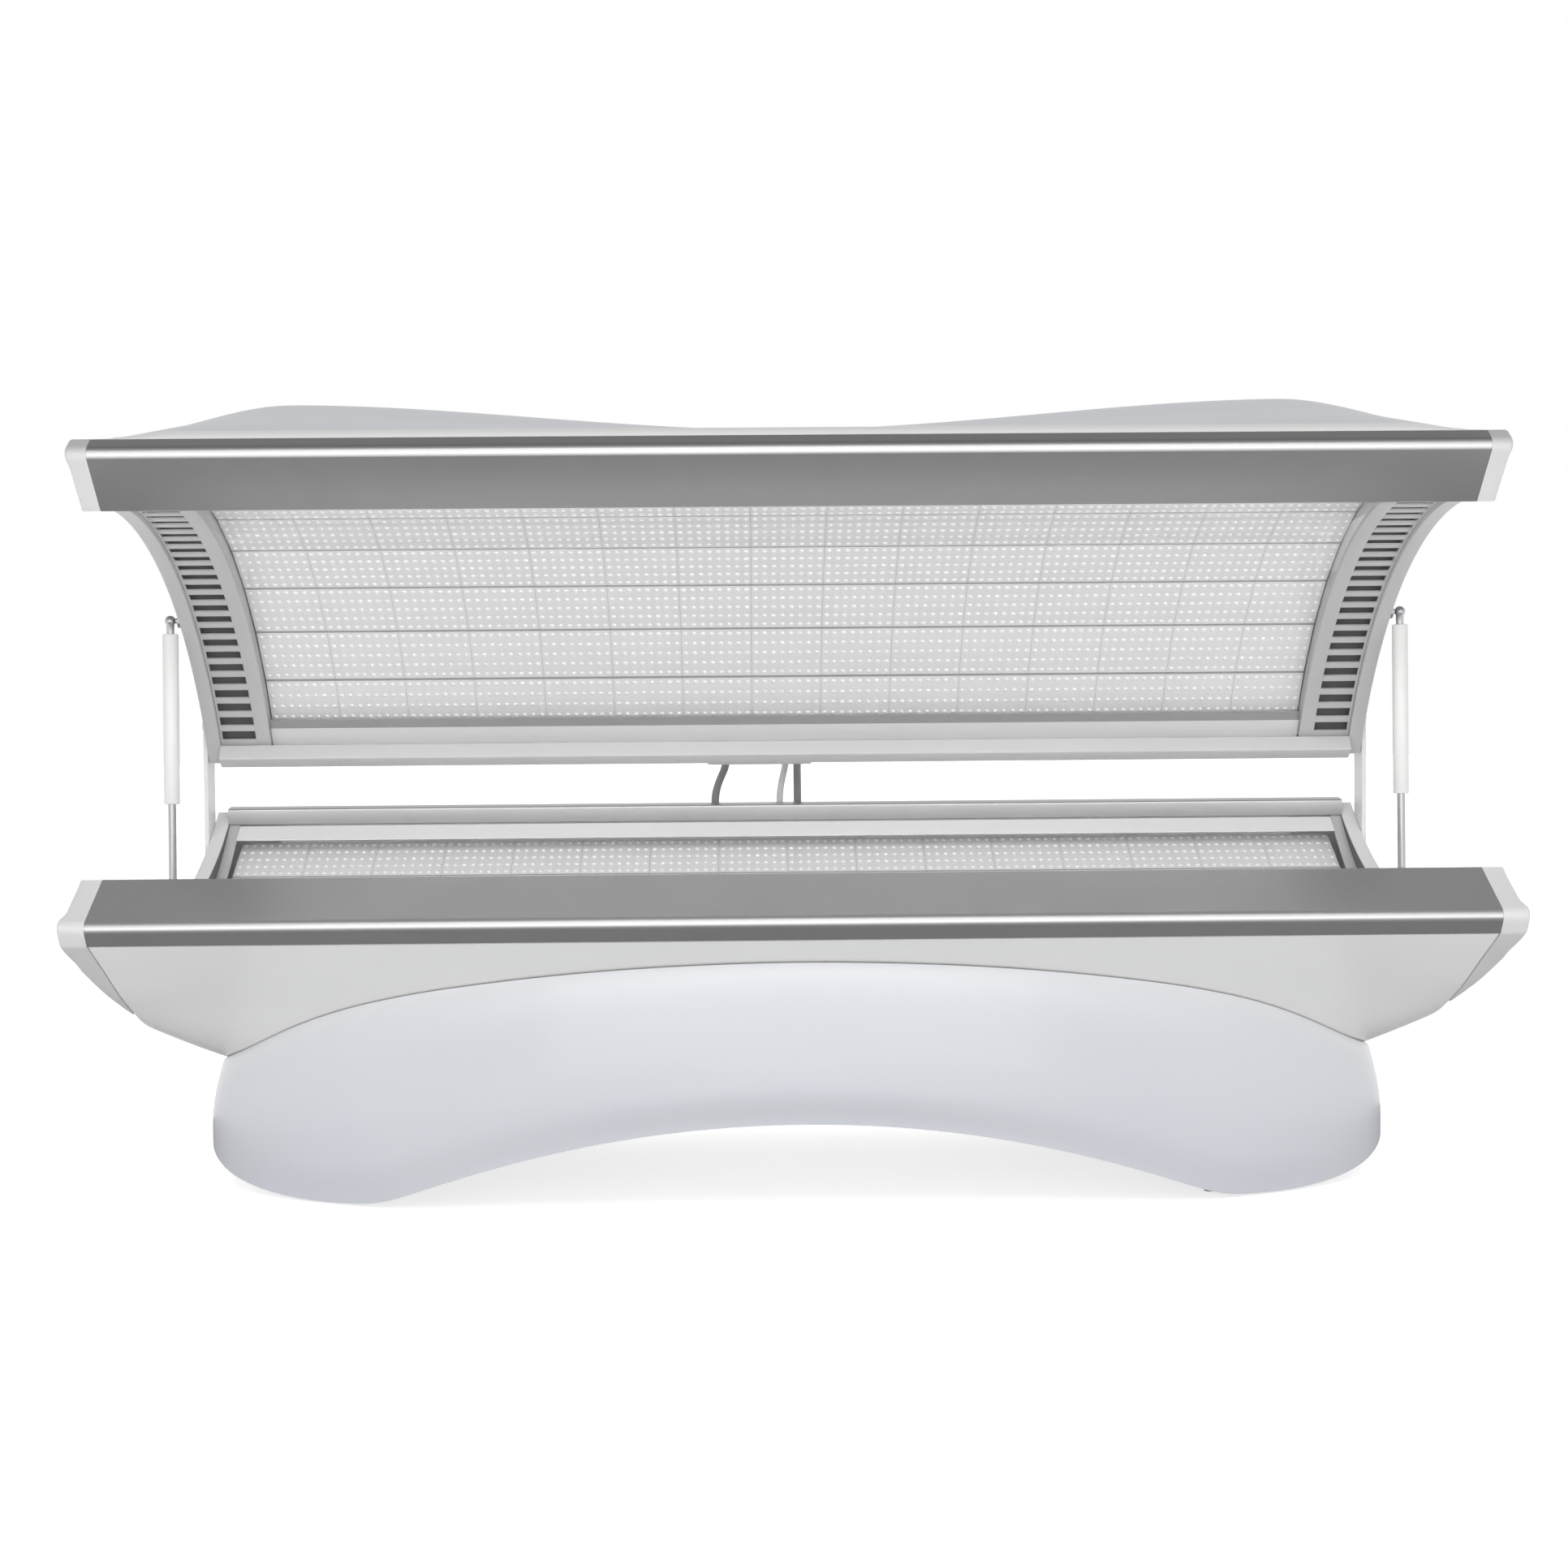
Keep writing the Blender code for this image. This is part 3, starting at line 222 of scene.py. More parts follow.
# Hinge, gas springs and cables
ARM_WIDTH = 0.056
ARM_WALL = 0.0075
ARM_LOW = 0.245
ARM_EDGE = 0.0012
PIN_RADIUS = 0.008
PIN_HEAD = 0.005
PIN_HEAD_RADIUS = 0.014
PIN_DOME = ((0.0, 0.0), (0.007, 0.0002), (0.0122, 0.0008), (0.0135, 0.0018), (PIN_HEAD_RADIUS, 0.0030))
SPRING_OFFSET = 0.019
SPRING_TOP = (0.606, 0.111)
SPRING_FOOT = (0.601, 0.141)
TUBE_RADIUS = 0.013
TUBE_LENGTH = 0.286
TUBE_EDGE = 0.002
PLUG_DEPTH = 0.02
PLUG_EDGE = 0.001
ROD_RADIUS = 0.0065
ROD_IN_TUBE = 0.045
BALL_RADIUS = 0.009
NECK_RADIUS = 0.006
NECK_LENGTH = 0.022
CABLES = (
    ("left", -0.118, 0.007, -0.010, 0.010),
    ("middle", -0.010, 0.0058, -0.002, 0.008),
    ("right", 0.022, 0.0068, -0.002, -0.003),
)
GLAND_DEPTH = 0.022
GLAND_HEIGHT = 0.018
GLAND_AT = (REAR_EDGE[0] + GAP + GLAND_DEPTH / 2, REAR_RAIL_HEIGHT / 2 - REAR_RAIL_TOP)
GLAND_MARGIN = 0.014
GLAND_ROUND = 0.003
GLAND_EDGE = 0.002
GLAND_LIFT = 0.005
GLAND_OVER = 0.008
CABLE_STUB = 0.006
CABLE_PULL = 0.10

# Camera
CAMERA_AT = (-0.06349, -3.92236, 0.75797)
CAMERA_YAW = math.radians(0.78118)
CAMERA_PITCH = math.radians(-1.84295)
CAMERA_ROLL = math.radians(-0.47692)
CAMERA_LENS = 55.669

# Studio: how bright the floor shows by itself, the ceiling beside the white surround, and the dark card
FLOOR_GLOW = 0.72
CEILING = 0.40
FLAG = 0.20
FLOOR_REACH = 30.0


def linear(colour):
    """An sRGB hex colour as linear red, green, blue and alpha."""
    parts = np.array([int(colour[i : i + 2], 16) for i in (1, 3, 5)]) / 255
    low = parts / 12.92
    high = ((parts + 0.055) / 1.055) ** 2.4
    return (*np.where(parts <= 0.04045, low, high), 1.0)


def add_node(tree, kind, inputs=None, **settings):
    """A node of the tree with its settings; an input is a value or another node's output socket."""
    made = tree.nodes.new(kind)
    for key, value in settings.items():
        setattr(made, key, value)
    for key, value in (inputs or {}).items():
        if isinstance(value, bpy.types.NodeSocket):
            tree.links.new(value, made.inputs[key])
        else:
            made.inputs[key].default_value = value
    return made


def new_finish(name):
    """An empty material with its output and the piece's own coordinates, in metres."""
    made = bpy.data.materials.new(name)
    made.use_nodes = True
    tree = made.node_tree
    tree.nodes.clear()
    output = add_node(tree, "ShaderNodeOutputMaterial")
    place = add_node(tree, "ShaderNodeTexCoord").outputs["Object"]
    return made, tree, output, place


def moulded(name, colour, shade, roughness, peel_mm=3.0, peel=0.02, coat=0.0, edge=None):
    """Moulded plastic: a faint drift of tone over hand widths, soft orange peel; an edge colour, where given,
    is a painted highlight on a thin upper edge.
    """
    made, tree, output, place = new_finish(name)
    drift = add_node(tree, "ShaderNodeTexNoise", {"Vector": place, "Scale": 1 / 0.18, "Detail": 2.0})
    tones = {"Factor": drift.outputs["Fac"], "A": linear(colour), "B": linear(shade)}
    tone = add_node(tree, "ShaderNodeMix", tones, data_type="RGBA")
    # Painted highlight: the edge colour is mixed in by a point attribute, paler where light falls on the top
    # edge
    if edge:
        thin = add_node(tree, "ShaderNodeAttribute", attribute_name="thin_edge").outputs["Fac"]
        tones = {"Factor": thin, "A": tone.outputs["Result"], "B": linear(edge)}
        tone = add_node(tree, "ShaderNodeMix", tones, data_type="RGBA")
    skin = add_node(tree, "ShaderNodeTexNoise", {"Vector": place, "Scale": 1000 / peel_mm, "Detail": 1.0})
    relief = {"Height": skin.outputs["Fac"], "Strength": peel, "Distance": 0.0004}
    bump = add_node(tree, "ShaderNodeBump", relief).outputs["Normal"]
    look = {"Base Color": tone.outputs["Result"], "Roughness": roughness, "IOR": 1.54, "Coat Weight": coat}
    shader = add_node(tree, "ShaderNodeBsdfPrincipled", {**look, "Normal": bump})
    tree.links.new(shader.outputs["BSDF"], output.inputs["Surface"])
    return made


def brushed(name, colour, shade, roughness, line_mm=2.5, length_mm=250.0):
    """Brushed and anodised metal: fine lines along X that spread the light across them."""
    made, tree, output, place = new_finish(name)
    fine = {"Vector": place, "Scale": (1000 / length_mm, 1000 / line_mm, 1000 / line_mm)}
    stretch = add_node(tree, "ShaderNodeMapping", fine)
    along = stretch.outputs["Vector"]
    lines = add_node(tree, "ShaderNodeTexNoise", {"Vector": along, "Scale": 1.0, "Detail": 3.0})
    cloud = add_node(tree, "ShaderNodeTexNoise", {"Vector": place, "Scale": 1 / 0.12, "Detail": 3.0})
    tones = {"Factor": cloud.outputs["Fac"], "A": linear(colour), "B": linear(shade)}
    tone = add_node(tree, "ShaderNodeMix", tones, data_type="RGBA")
    spread_of = {"Value": lines.outputs["Fac"], "To Min": roughness - 0.02, "To Max": roughness + 0.02}
    grit = add_node(tree, "ShaderNodeMapRange", spread_of).outputs["Result"]
    relief = {"Height": lines.outputs["Fac"], "Strength": 0.005, "Distance": 0.0001}
    bump = add_node(tree, "ShaderNodeBump", relief).outputs["Normal"]
    look = {"Base Color": tone.outputs["Result"], "Metallic": 1.0, "Roughness": grit, "Normal": bump}
    shader = add_node(tree, "ShaderNodeBsdfPrincipled", look)
    tree.links.new(shader.outputs["BSDF"], output.inputs["Surface"])
    return made


def clear_sheet(name):
    """Extruded clear acrylic: it lets the boards show through and mirrors the room at its surface."""
    made, tree, output, place = new_finish(name)
    wave = add_node(tree, "ShaderNodeTexNoise", {"Vector": place, "Scale": 1 / 0.25, "Detail": 1.0})
    relief = {"Height": wave.outputs["Fac"], "Strength": 0.04, "Distance": 0.004}
    bump = add_node(tree, "ShaderNodeBump", relief).outputs["Normal"]
    clear = add_node(tree, "ShaderNodeBsdfTransparent", {"Color": linear("#FEFEFE")}).outputs["BSDF"]
    polish = {"Color": linear("#FFFFFF"), "Roughness": 0.03, "Normal": bump}
    mirror = add_node(tree, "ShaderNodeBsdfAnisotropic", polish).outputs["BSDF"]
    edge = add_node(tree, "ShaderNodeFresnel", {"IOR": 1.49, "Normal": bump})
    inner = add_node(tree, "ShaderNodeNewGeometry").outputs["Backfacing"]
    outer = add_node(tree, "ShaderNodeMath", {0: 1.0, 1: inner}, operation="SUBTRACT")
    facing = {0: edge.outputs["Fac"], 1: outer.outputs[0]}
    share = add_node(tree, "ShaderNodeMath", facing, operation="MULTIPLY")
    mixed = add_node(tree, "ShaderNodeMixShader", {0: share.outputs[0], 1: clear, 2: mirror})
    tree.links.new(mixed.outputs["Shader"], output.inputs["Surface"])
    return made


# Finishes, each with what it gives the eye
# Clean neutral white with a soft gloss, for the tub and the shell
WHITE_ABS = moulded("white ABS, glossy moulding", "#E8E8E7", "#E4E4E3", 0.30, coat=0.15)
# A cooler, darker white with the same gloss, and a painted highlight that makes it paler along its thin upper
# edge
BLUISH_ABS = moulded("cool white ABS, glossy moulding", "#C8CAD0", "#C4C7CD", 0.30, coat=0.15, edge="#E0E1E4")
# The same cool white, duller, so that the humps show as broad soft shades
COVER_ABS = moulded("cool white ABS, satin moulding", "#D8DADF", "#D4D7DC", 0.38)
# Light grey end caps, a touch darker than the skins they close
GREY_ABS = moulded("light grey ABS, satin moulding", "#CFCFCF", "#CACACA", 0.42)
# Pale grey edges that frame the tunnel of the base
PANEL_ABS = moulded("pale grey ABS, satin moulding", "#E4E4E4", "#E0E0E0", 0.42)
# Mid grey grilles and frames against the white boards; on the canopy's end caps a darker copy of their grey,
# painted shade against the strip light
VENT_AND_CAP_SHADE_ABS = moulded("mid grey ABS, satin moulding", "#BFBFBF", "#B9B9B9", 0.42)
# Silver rails: fine lines along their length spread the room into soft bands
ALUMINIUM = brushed("anodised aluminium, brushed", "#C6C6C6", "#BEBEBE", 0.38)
# A clear film over the boards, seen only where it mirrors the room
ACRYLIC = clear_sheet("clear acrylic sheet")
# Matt white boards, just darker than their lenses
BOARD = moulded("lamp board, white solder resist", "#F2F2F2", "#EEEEEE", 0.45, peel_mm=0.8)
# Bright dots with a soft glint
LENS = moulded("lamp lens, clear silicone", "#FFFFFF", "#FCFCFC", 0.42, peel_mm=2.0, peel=0.0)
# White coated steel with a fine pebbled skin
PAINTED = moulded("white powder coat on steel", "#E2E2E1", "#DCDCDB", 0.40, peel_mm=1.2, peel=0.05)
# Bright drawn steel of rods, balls and pins
STEEL = brushed("bright steel", "#B8B8BA", "#ACACAF", 0.35)
# A pale, even rail without the bands of bare metal
PALE_COAT = moulded("pale grey powder coat on aluminium", "#CBCBCB", "#C5C5C5", 0.50, peel_mm=1.2, peel=0.05)
# Plain white enamel strips beside the boards
WHITE_SHEET = moulded("sheet steel, white enamel", "#E8E8E8", "#E4E4E4", 0.35, peel_mm=1.5)
# Dull black feet
RUBBER = moulded("black rubber", "#2B2B2B", "#242424", 0.70, peel_mm=0.8, peel=0.15)
# Faint lines between the boards of a row; on the base also a thin band of painted shade along the boards'
# rear edge
JOINT_AND_SHADE_FOIL = moulded("pale foil between lamp boards", "#DADADA", "#D4D4D4", 0.60, peel_mm=1.5)
# Clear grey lines between the rows; on the canopy also a band of painted shade along the boards' rear edge
SEAM_AND_SHADE_FOIL = moulded("grey foil between lamp rows", "#A6A6A6", "#9E9E9E", 0.60, peel_mm=1.5)
# Painted shade: a dark grey sheet behind the slots and beside the base's sunk strips, where there is only
# shade
SHADE_LINER = moulded("dark grey duct foam", "#6A6A6A", "#5E5E5E", 0.75, peel_mm=1.5, peel=0.3)
# Satin black of inlet and fans
BLACK = moulded("black polyamide", "#333335", "#2C2C2E", 0.50, peel_mm=0.8, peel=0.10)
# Grey cables against the white gap
DARK_SHEATH = moulded("dark grey cable sheath", "#7D7D7E", "#727273", 0.50, peel_mm=1.5, peel=0.05)
# One paler cable beside them
PALE_SHEATH = moulded("pale grey cable sheath", "#C6C6C6", "#BEBEBE", 0.50, peel_mm=1.5, peel=0.05)

FINISHES = {
    "white_abs": WHITE_ABS,
    "light_grey_abs": GREY_ABS,
    "satin_aluminium": ALUMINIUM,
    "clear_acrylic": ACRYLIC,
    "lamp_board_white": BOARD,
    "zinc_plated_sheet": WHITE_SHEET,
    "white_painted_steel": PAINTED,
    "bright_steel": STEEL,
    "black_rubber": RUBBER,
    "black_plastic": BLACK,
    "dark_grey_cable": DARK_SHEATH,
    "pale_grey_cable": PALE_SHEATH,
}


class Half:
    """One half of the clamshell: where a point (s, t) of the shared cross-section lies."""

    def __init__(self, name, origin, along, out, face=(0, 0), cap=(0, 0), lamps=(0, 0), foil=(0, None)):
        self.name = name
        self.origin, self.along, self.outwards = (np.array(value) for value in (origin, along, out))
        self.face_depth, self.face_rise = face
        self.cap_reach, self.cap_bulge = cap
        self.lamp_end, self.modules = lamps
        # foil: the span and finish of a band of painted shade along the boards' rear edge
        self.foil_span, self.foil = foil

    def place(self, points):
        """The (y, z) of section points (s, t)."""
        points = np.asarray(points, float)
        return self.origin + points[..., :1] * self.along + points[..., 1:] * self.outwards


HINGE = next(joint for joint in frame["record"]["behaviour"]["joints"] if joint["name"] == "canopy_hinge")
PIVOT = np.array(HINGE["pos_m"][1:])
PIVOT_ON_CANOPY = (CHORD - 0.030, 0.070)
CANOPY_ALONG = np.array((math.cos(CANOPY_TILT), -math.sin(CANOPY_TILT)))
CANOPY_OUT = np.array((math.sin(CANOPY_TILT), math.cos(CANOPY_TILT)))
BASE = Half(
    "base",
    (FRONT_Y, NOSE_HEIGHT),
    (math.cos(BASE_TILT), math.sin(BASE_TILT)),
    (math.sin(BASE_TILT), -math.cos(BASE_TILT)),
    face=(0.114, 0.047),
    cap=(0.033, 0.007),
    lamps=(VENT_FAR - STRIP_WIDTH, 16),
    foil=((0.951, 0.956), JOINT_AND_SHADE_FOIL),
)
CANOPY = Half(
    "canopy",
    PIVOT - PIVOT_ON_CANOPY[0] * CANOPY_ALONG - PIVOT_ON_CANOPY[1] * CANOPY_OUT,
    CANOPY_ALONG,
    CANOPY_OUT,
    face=(0.1065, 0.0295),
    cap=(0.028, 0.004),
    lamps=(VENT_NEAR, 15),
    foil=((0.909, 0.930), SEAM_AND_SHADE_FOIL),
)
HALVES = (BASE, CANOPY)


def piece(name, shape, finish, body, nodes=(), sharp=35.0):
    """A mesh of points and faces, smooth up to an angle, that rides a body and stands for CAD nodes."""
    points, faces = shape
    mesh = bpy.data.meshes.new(name)
    mesh.from_pydata(np.asarray(points).tolist(), [], faces)
    mesh.validate()
    mesh.update()
    mesh.shade_smooth()
    mesh.set_sharp_from_angle(angle=math.radians(sharp))
    mesh.materials.append(finish)
    obj = bpy.data.objects.new(name, mesh)
    bpy.context.scene.collection.objects.link(obj)
    if nodes:
        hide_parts(*nodes)
    if body:
        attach(obj, body)
    return obj


def stand_in(half, kind, what, shape, finish, sharp=35.0):
    """A piece that stands for one CAD node of a half."""
    node = f"{half.name}_{what}"
    piece(f"{kind}_{node}", shape, finish, half.name, [node], sharp)


def joined(shapes):
    """Several closed shapes as one list of points and one of faces."""
    points, faces, count = [], [], 0
    for more, sides in shapes:
        points.append(np.asarray(more))
        faces += [[int(i) + count for i in side] for side in sides]
        count += len(more)
    return np.concatenate(points), faces


def quads(rows, columns, wrap=False):
    """The faces of a grid of points, row by row; wrap closes each row into a ring."""
    i, j = np.meshgrid(np.arange(rows - 1), np.arange(columns if wrap else columns - 1), indexing="ij")
    k = (j + 1) % columns
    low, high = i * columns, (i + 1) * columns
    return np.stack([low + j, low + k, high + k, high + j], -1).reshape(-1, 4)


def smooth_step(x):
    """From 0 to 1 with level ends: three squares less two cubes."""
    x = np.clip(x, 0.0, 1.0)
    return x * x * (3 - 2 * x)


def through(points, u):
    """A smooth curve through a few points: Catmull-Rom, read at shares u of its parameter."""
    points = np.array(points)
    ends = np.vstack([2 * points[0] - points[1], points, 2 * points[-1] - points[-2]])
    at = np.asarray(u) * (len(points) - 1)
    i = np.minimum(at.astype(int), len(points) - 2)
    f = (at - i)[:, None]
    a, b, c, d = (ends[i + k] for k in range(4))
    return 0.5 * (2 * b + (c - a) * f + (2 * a - 5 * b + 4 * c - d) * f**2 + (3 * b - a - 3 * c + d) * f**3)


def unit(vectors):
    """Vectors scaled to length 1; one without length stays as it is."""
    return vectors / np.maximum(np.linalg.norm(vectors, axis=-1, keepdims=True), 1e-12)


def surface_normals(grid):
    """Unit normals of a grid: the cross product of its two directions."""
    return unit(np.cross(np.gradient(grid, axis=1), np.gradient(grid, axis=0)))


def walled(grid, wall, inside):
    """A closed shell: the grid, the grid moved in by the wall along its normals, and the strip between."""
    if np.sum(surface_normals(grid) * (grid - np.asarray(inside))) < 0:
        grid = grid[::-1]
    rows, columns = grid.shape[:2]
    inner = grid - wall * surface_normals(grid)
    faces = quads(rows, columns)
    index = np.arange(rows * columns).reshape(rows, columns)
    border = np.concatenate([index[0], index[1:, -1], index[-1, -2::-1], index[-2:0:-1, 0]])
    after = np.roll(border, -1)
    count = rows * columns
    strip = np.stack([after, border, border + count, after + count], -1)
    points = np.concatenate([grid.reshape(-1, 3), inner.reshape(-1, 3)])
    return points, np.concatenate([faces, faces[:, ::-1] + count, strip]).tolist()


def swept(rings):
    """A closed solid through a row of closed rings of points, with a flat face on each end."""
    rings = np.asarray(rings)
    count, around = rings.shape[:2]
    middle = rings.mean(axis=(0, 1))
    faces = quads(count, around, wrap=True)
    points = rings.reshape(-1, 3)
    a, b, d = points[faces[:, 0]], points[faces[:, 1]], points[faces[:, 3]]
    volume = np.sum(np.cross(b - a, d - a) * (a - middle))
    ends = [list(range(around))[::-1], list(range((count - 1) * around, count * around))]
    faces = faces.tolist() + ends
    return points, [face[::-1] for face in faces] if volume < 0 else faces


def left_of(runs):
    """Directions in a plane, turned left by a quarter."""
    return np.stack([-runs[..., 1], runs[..., 0]], -1)


def inset(ring, by):
    """A closed outline moved inwards along the bisectors of its corners."""
    ring = np.asarray(ring, float)
    before, after = unit(ring - np.roll(ring, 1, axis=0)), unit(np.roll(ring, -1, axis=0) - ring)
    area = np.sum(ring[:, 0] * np.roll(ring[:, 1], -1) - np.roll(ring[:, 0], -1) * ring[:, 1])
    normal = unit(left_of(before + after) * np.sign(area))
    across = np.abs(np.sum(normal * left_of(after), axis=1))
    return ring + normal * (by / np.maximum(across, INSET_LEAST))[:, None]


def rounded(points, radius, steps=5):
    """A closed outline with soft corners: each is a quadratic curve between its two tangent points."""
    points = np.asarray(points, float)
    before = np.roll(points, 1, axis=0) - points
    after = np.roll(points, -1, axis=0) - points
    short = np.minimum(np.linalg.norm(before, axis=1), np.linalg.norm(after, axis=1))
    reach = np.minimum(np.broadcast_to(radius, len(points)), ROUND_MOST * short)[:, None]
    start, end = points + unit(before) * reach, points + unit(after) * reach
    u = np.linspace(0, 1, steps)[:, None, None]
    return np.swapaxes((1 - u) ** 2 * start + 2 * u * (1 - u) * points + u**2 * end, 0, 1).reshape(-1, 2)


def along_x(half, outline, x0, x1, edge=0.0, steps=4):
    """An outline of the section carried along X, with its two end edges rounded by quarter arcs."""
    turn = np.linspace(0, math.pi / 2, steps) if edge else np.array([math.pi / 2])
    shrink = edge * (1 - np.sin(turn))
    reach = edge * (1 - np.cos(turn))
    xs = np.concatenate([x0 + reach, (x1 - reach)[::-1]])
    lines = [half.place(inset(outline, by) if by > 0 else outline) for by in shrink]
    lines += lines[::-1]
    return swept([np.column_stack([np.full(len(line), x), line]) for x, line in zip(xs, lines)])


def turned(profile, start, direction, count=40):
    """A turned solid: points (radius, height) carried round an axis from start along direction."""
    profile = np.array(profile)
    frame_of = Vector(direction).to_track_quat("Z", "Y").to_matrix()
    angle = np.linspace(0, 2 * math.pi, count, endpoint=False)
    radius = np.maximum(profile[:, :1], 1e-5)
    height = np.broadcast_to(profile[:, 1:], (len(profile), count))
    rings = np.stack([radius * np.cos(angle), radius * np.sin(angle), height], -1)
    return swept(rings @ np.array(frame_of).T + np.asarray(start))


def rim(half, u, outwards):
    """Points of the tunnel arc, u from 0 at the front to 1 at the rear, moved outwards along its radius."""
    front = np.array((half.face_depth + 5 * GAP, FACE_EDGE - half.face_rise + 3 * GAP))
    rear = np.array(REAR_EDGE)
    span = np.linalg.norm(rear - front)
    along = (rear - front) / span
    normal = left_of(along)
    radius = span**2 / (8 * RIM_SAG) + RIM_SAG / 2
    middle = (front + rear) / 2 - normal * (radius - RIM_SAG)
    angle = (2 * np.asarray(u, float) - 1) * math.asin(span / 2 / radius)
    out = (radius + np.asarray(outwards))[..., None]
    return middle + out * (np.sin(angle)[..., None] * along + np.cos(angle)[..., None] * normal)


def hull_lines(x, u):
    """Section lines (s, t) of a hull at places x: a bowl through its points plus a belly inboard."""
    bowl = [(along * CHORD, out * HULL_DEPTH) for along, out in HULL_BOWL]
    heel = (HULL_REAR[0] - HULL_HEEL[0], HULL_HEEL[1] * HULL_DEPTH)
    line = through([HULL_FRONT, *bowl, heel, HULL_REAR], u)
    swell = np.sin(math.pi / 2 * np.clip((HALF_LENGTH - np.abs(x)) / BELLY_RUN, 0.0, 1.0)) ** BELLY_POWER
    within = np.interp(line[:, 0] / CHORD, BELLY_SHARE, (0, 1))
    lines = np.broadcast_to(line, (len(x), *line.shape)).copy()
    lines[..., 1] += HULL_BELLY * swell[:, None] * np.sin(math.pi * within) ** 2
    return lines


def section_normals(lines):
    """Unit normals of section lines, away from the tunnel."""
    return left_of(unit(np.gradient(lines, axis=-2)))


def spread(half, lines, x):
    """Section lines at places x as a grid of points."""
    return np.concatenate([np.broadcast_to(x, lines.shape[:2])[..., None], half.place(lines)], -1)


def inside_of(half):
    """A point that the half's skins face away from."""
    return (0.0, *half.place((CHORD / 2, 0.0)))


def dense_ends(reach, count):
    """Places along X that lie closer together towards both ends."""
    return reach * np.sin(math.pi / 2 * np.linspace(-1, 1, count))


def build_hulls():
    """Tub and shell: the hull's section lines along X, with both end edges rounded in against the caps."""
    x = dense_ends(HALF_LENGTH, 121)
    lines = hull_lines(x, np.linspace(0, 1, 91))
    past = np.clip((np.abs(x) - HALF_LENGTH) / HULL_END_ROUND + 1, 0.0, 1.0)
    lines = lines - section_normals(lines) * (HULL_END_ROUND * (1 - np.sqrt(1 - past**2)))[:, None, None]
    for half, name, node in ((BASE, "moulded_tub", "base_hull"), (CANOPY, "moulded_shell", "canopy_shell")):
        shape = walled(spread(half, lines, x[:, None]), HULL_WALL, inside_of(half))
        piece(name, shape, WHITE_ABS, half.name, [node])


def build_shell_lip():
    """The bead behind the canopy's front rail: half an ellipse on the hull's line, low at its two ends."""
    line = hull_lines(np.zeros(1), np.linspace(0, 0.2, 400))[0]
    turn = np.linspace(math.pi, 0, 24)
    s = LIP_AT + LIP_HALF_WIDTH * np.cos(turn)
    low = np.interp(s, line[:, 0], line[:, 1]) + GAP
    x = dense_ends(HALF_LENGTH - HULL_END_ROUND, 61)
    rise = LIP_HEIGHT * np.maximum(smooth_step((HALF_LENGTH - np.abs(x)) / LIP_RUN), LIP_LEAST)
    foot = np.broadcast_to(low - GAP / 2, (len(x), len(s)))[:, ::-1]
    t = np.concatenate([low + rise[:, None] * np.sin(turn), foot], 1)
    section = np.stack([np.broadcast_to(np.concatenate([s, s[::-1]]), t.shape), t], -1)
    shape = swept(spread(CANOPY, section, x[:, None]))
    piece("moulded_shell_lip", shape, WHITE_ABS, "canopy")


def hump(x):
    """The rise of the cover: nothing in the middle, two broad humps, a quick fall to nothing at its ends."""
    out = np.abs(x)
    fall = smooth_step((COVER_REACH - out) / (COVER_REACH - HUMP_AT)) ** HUMP_END_POWER
    return COVER_HUMP * smooth_step(out / HUMP_AT) * fall


def build_top_cover():
    """The shell's own surface, lifted along its normals by a wall and outwards by the humps."""
    x = dense_ends(COVER_REACH, 161)
    lines = hull_lines(x, np.linspace(*COVER_SHARE, 81))
    lines = lines + section_normals(lines) * (COVER_WALL + COVER_GAP)
    across = np.sin(math.pi * np.linspace(0, 1, lines.shape[1])) ** HUMP_ACROSS_POWER
    lines[..., 1] += hump(x)[:, None] * across
    shape = walled(spread(CANOPY, lines, x[:, None]), COVER_WALL, inside_of(CANOPY))
    piece("moulded_top_cover", shape, COVER_ABS, "canopy", ["canopy_top_cover"])


def pedestal_plan(turn, flare):
    """The pedestal's oval: a superellipse, wider by the flare."""
    c, s = np.cos(turn), np.sin(turn)
    power = 2 / PEDESTAL_POWER
    x = (PEDESTAL_HALF_LENGTH + flare) * np.sign(c) * np.abs(c) ** power
    y = (PEDESTAL_HALF_DEPTH + flare) * np.sign(s) * np.abs(s) ** power
    return x + PEDESTAL_SET_OVER, y + FRONT_Y + PEDESTAL_CENTRE


def skirt_low(x):
    """The lower edge: a parabola over the arch, softened where it lands, and turned up at the far corners."""
    arch = ARCH_HEIGHT * (1 - (np.abs(x) / ARCH_HALF_SPAN) ** 2)
    landed = 0.5 * (arch + np.sqrt(arch**2 + ARCH_LANDING**2))
    past = np.clip((np.abs(x) - PEDESTAL_HALF_LENGTH) / CORNER_RUN + 1, 0.0, 1.0)
    return SKIRT_FLOOR_GAP + landed + CORNER_RISE * (1 - np.sqrt(1 - past**2))


def hull_underside(x, y):
    """The height of the tub's outer face over points of the plan."""
    lines = BASE.place(hull_lines(x, np.linspace(0, 1, 181)))
    return np.array([np.interp(at, line[:, 0], line[:, 1]) for at, line in zip(y, lines)])


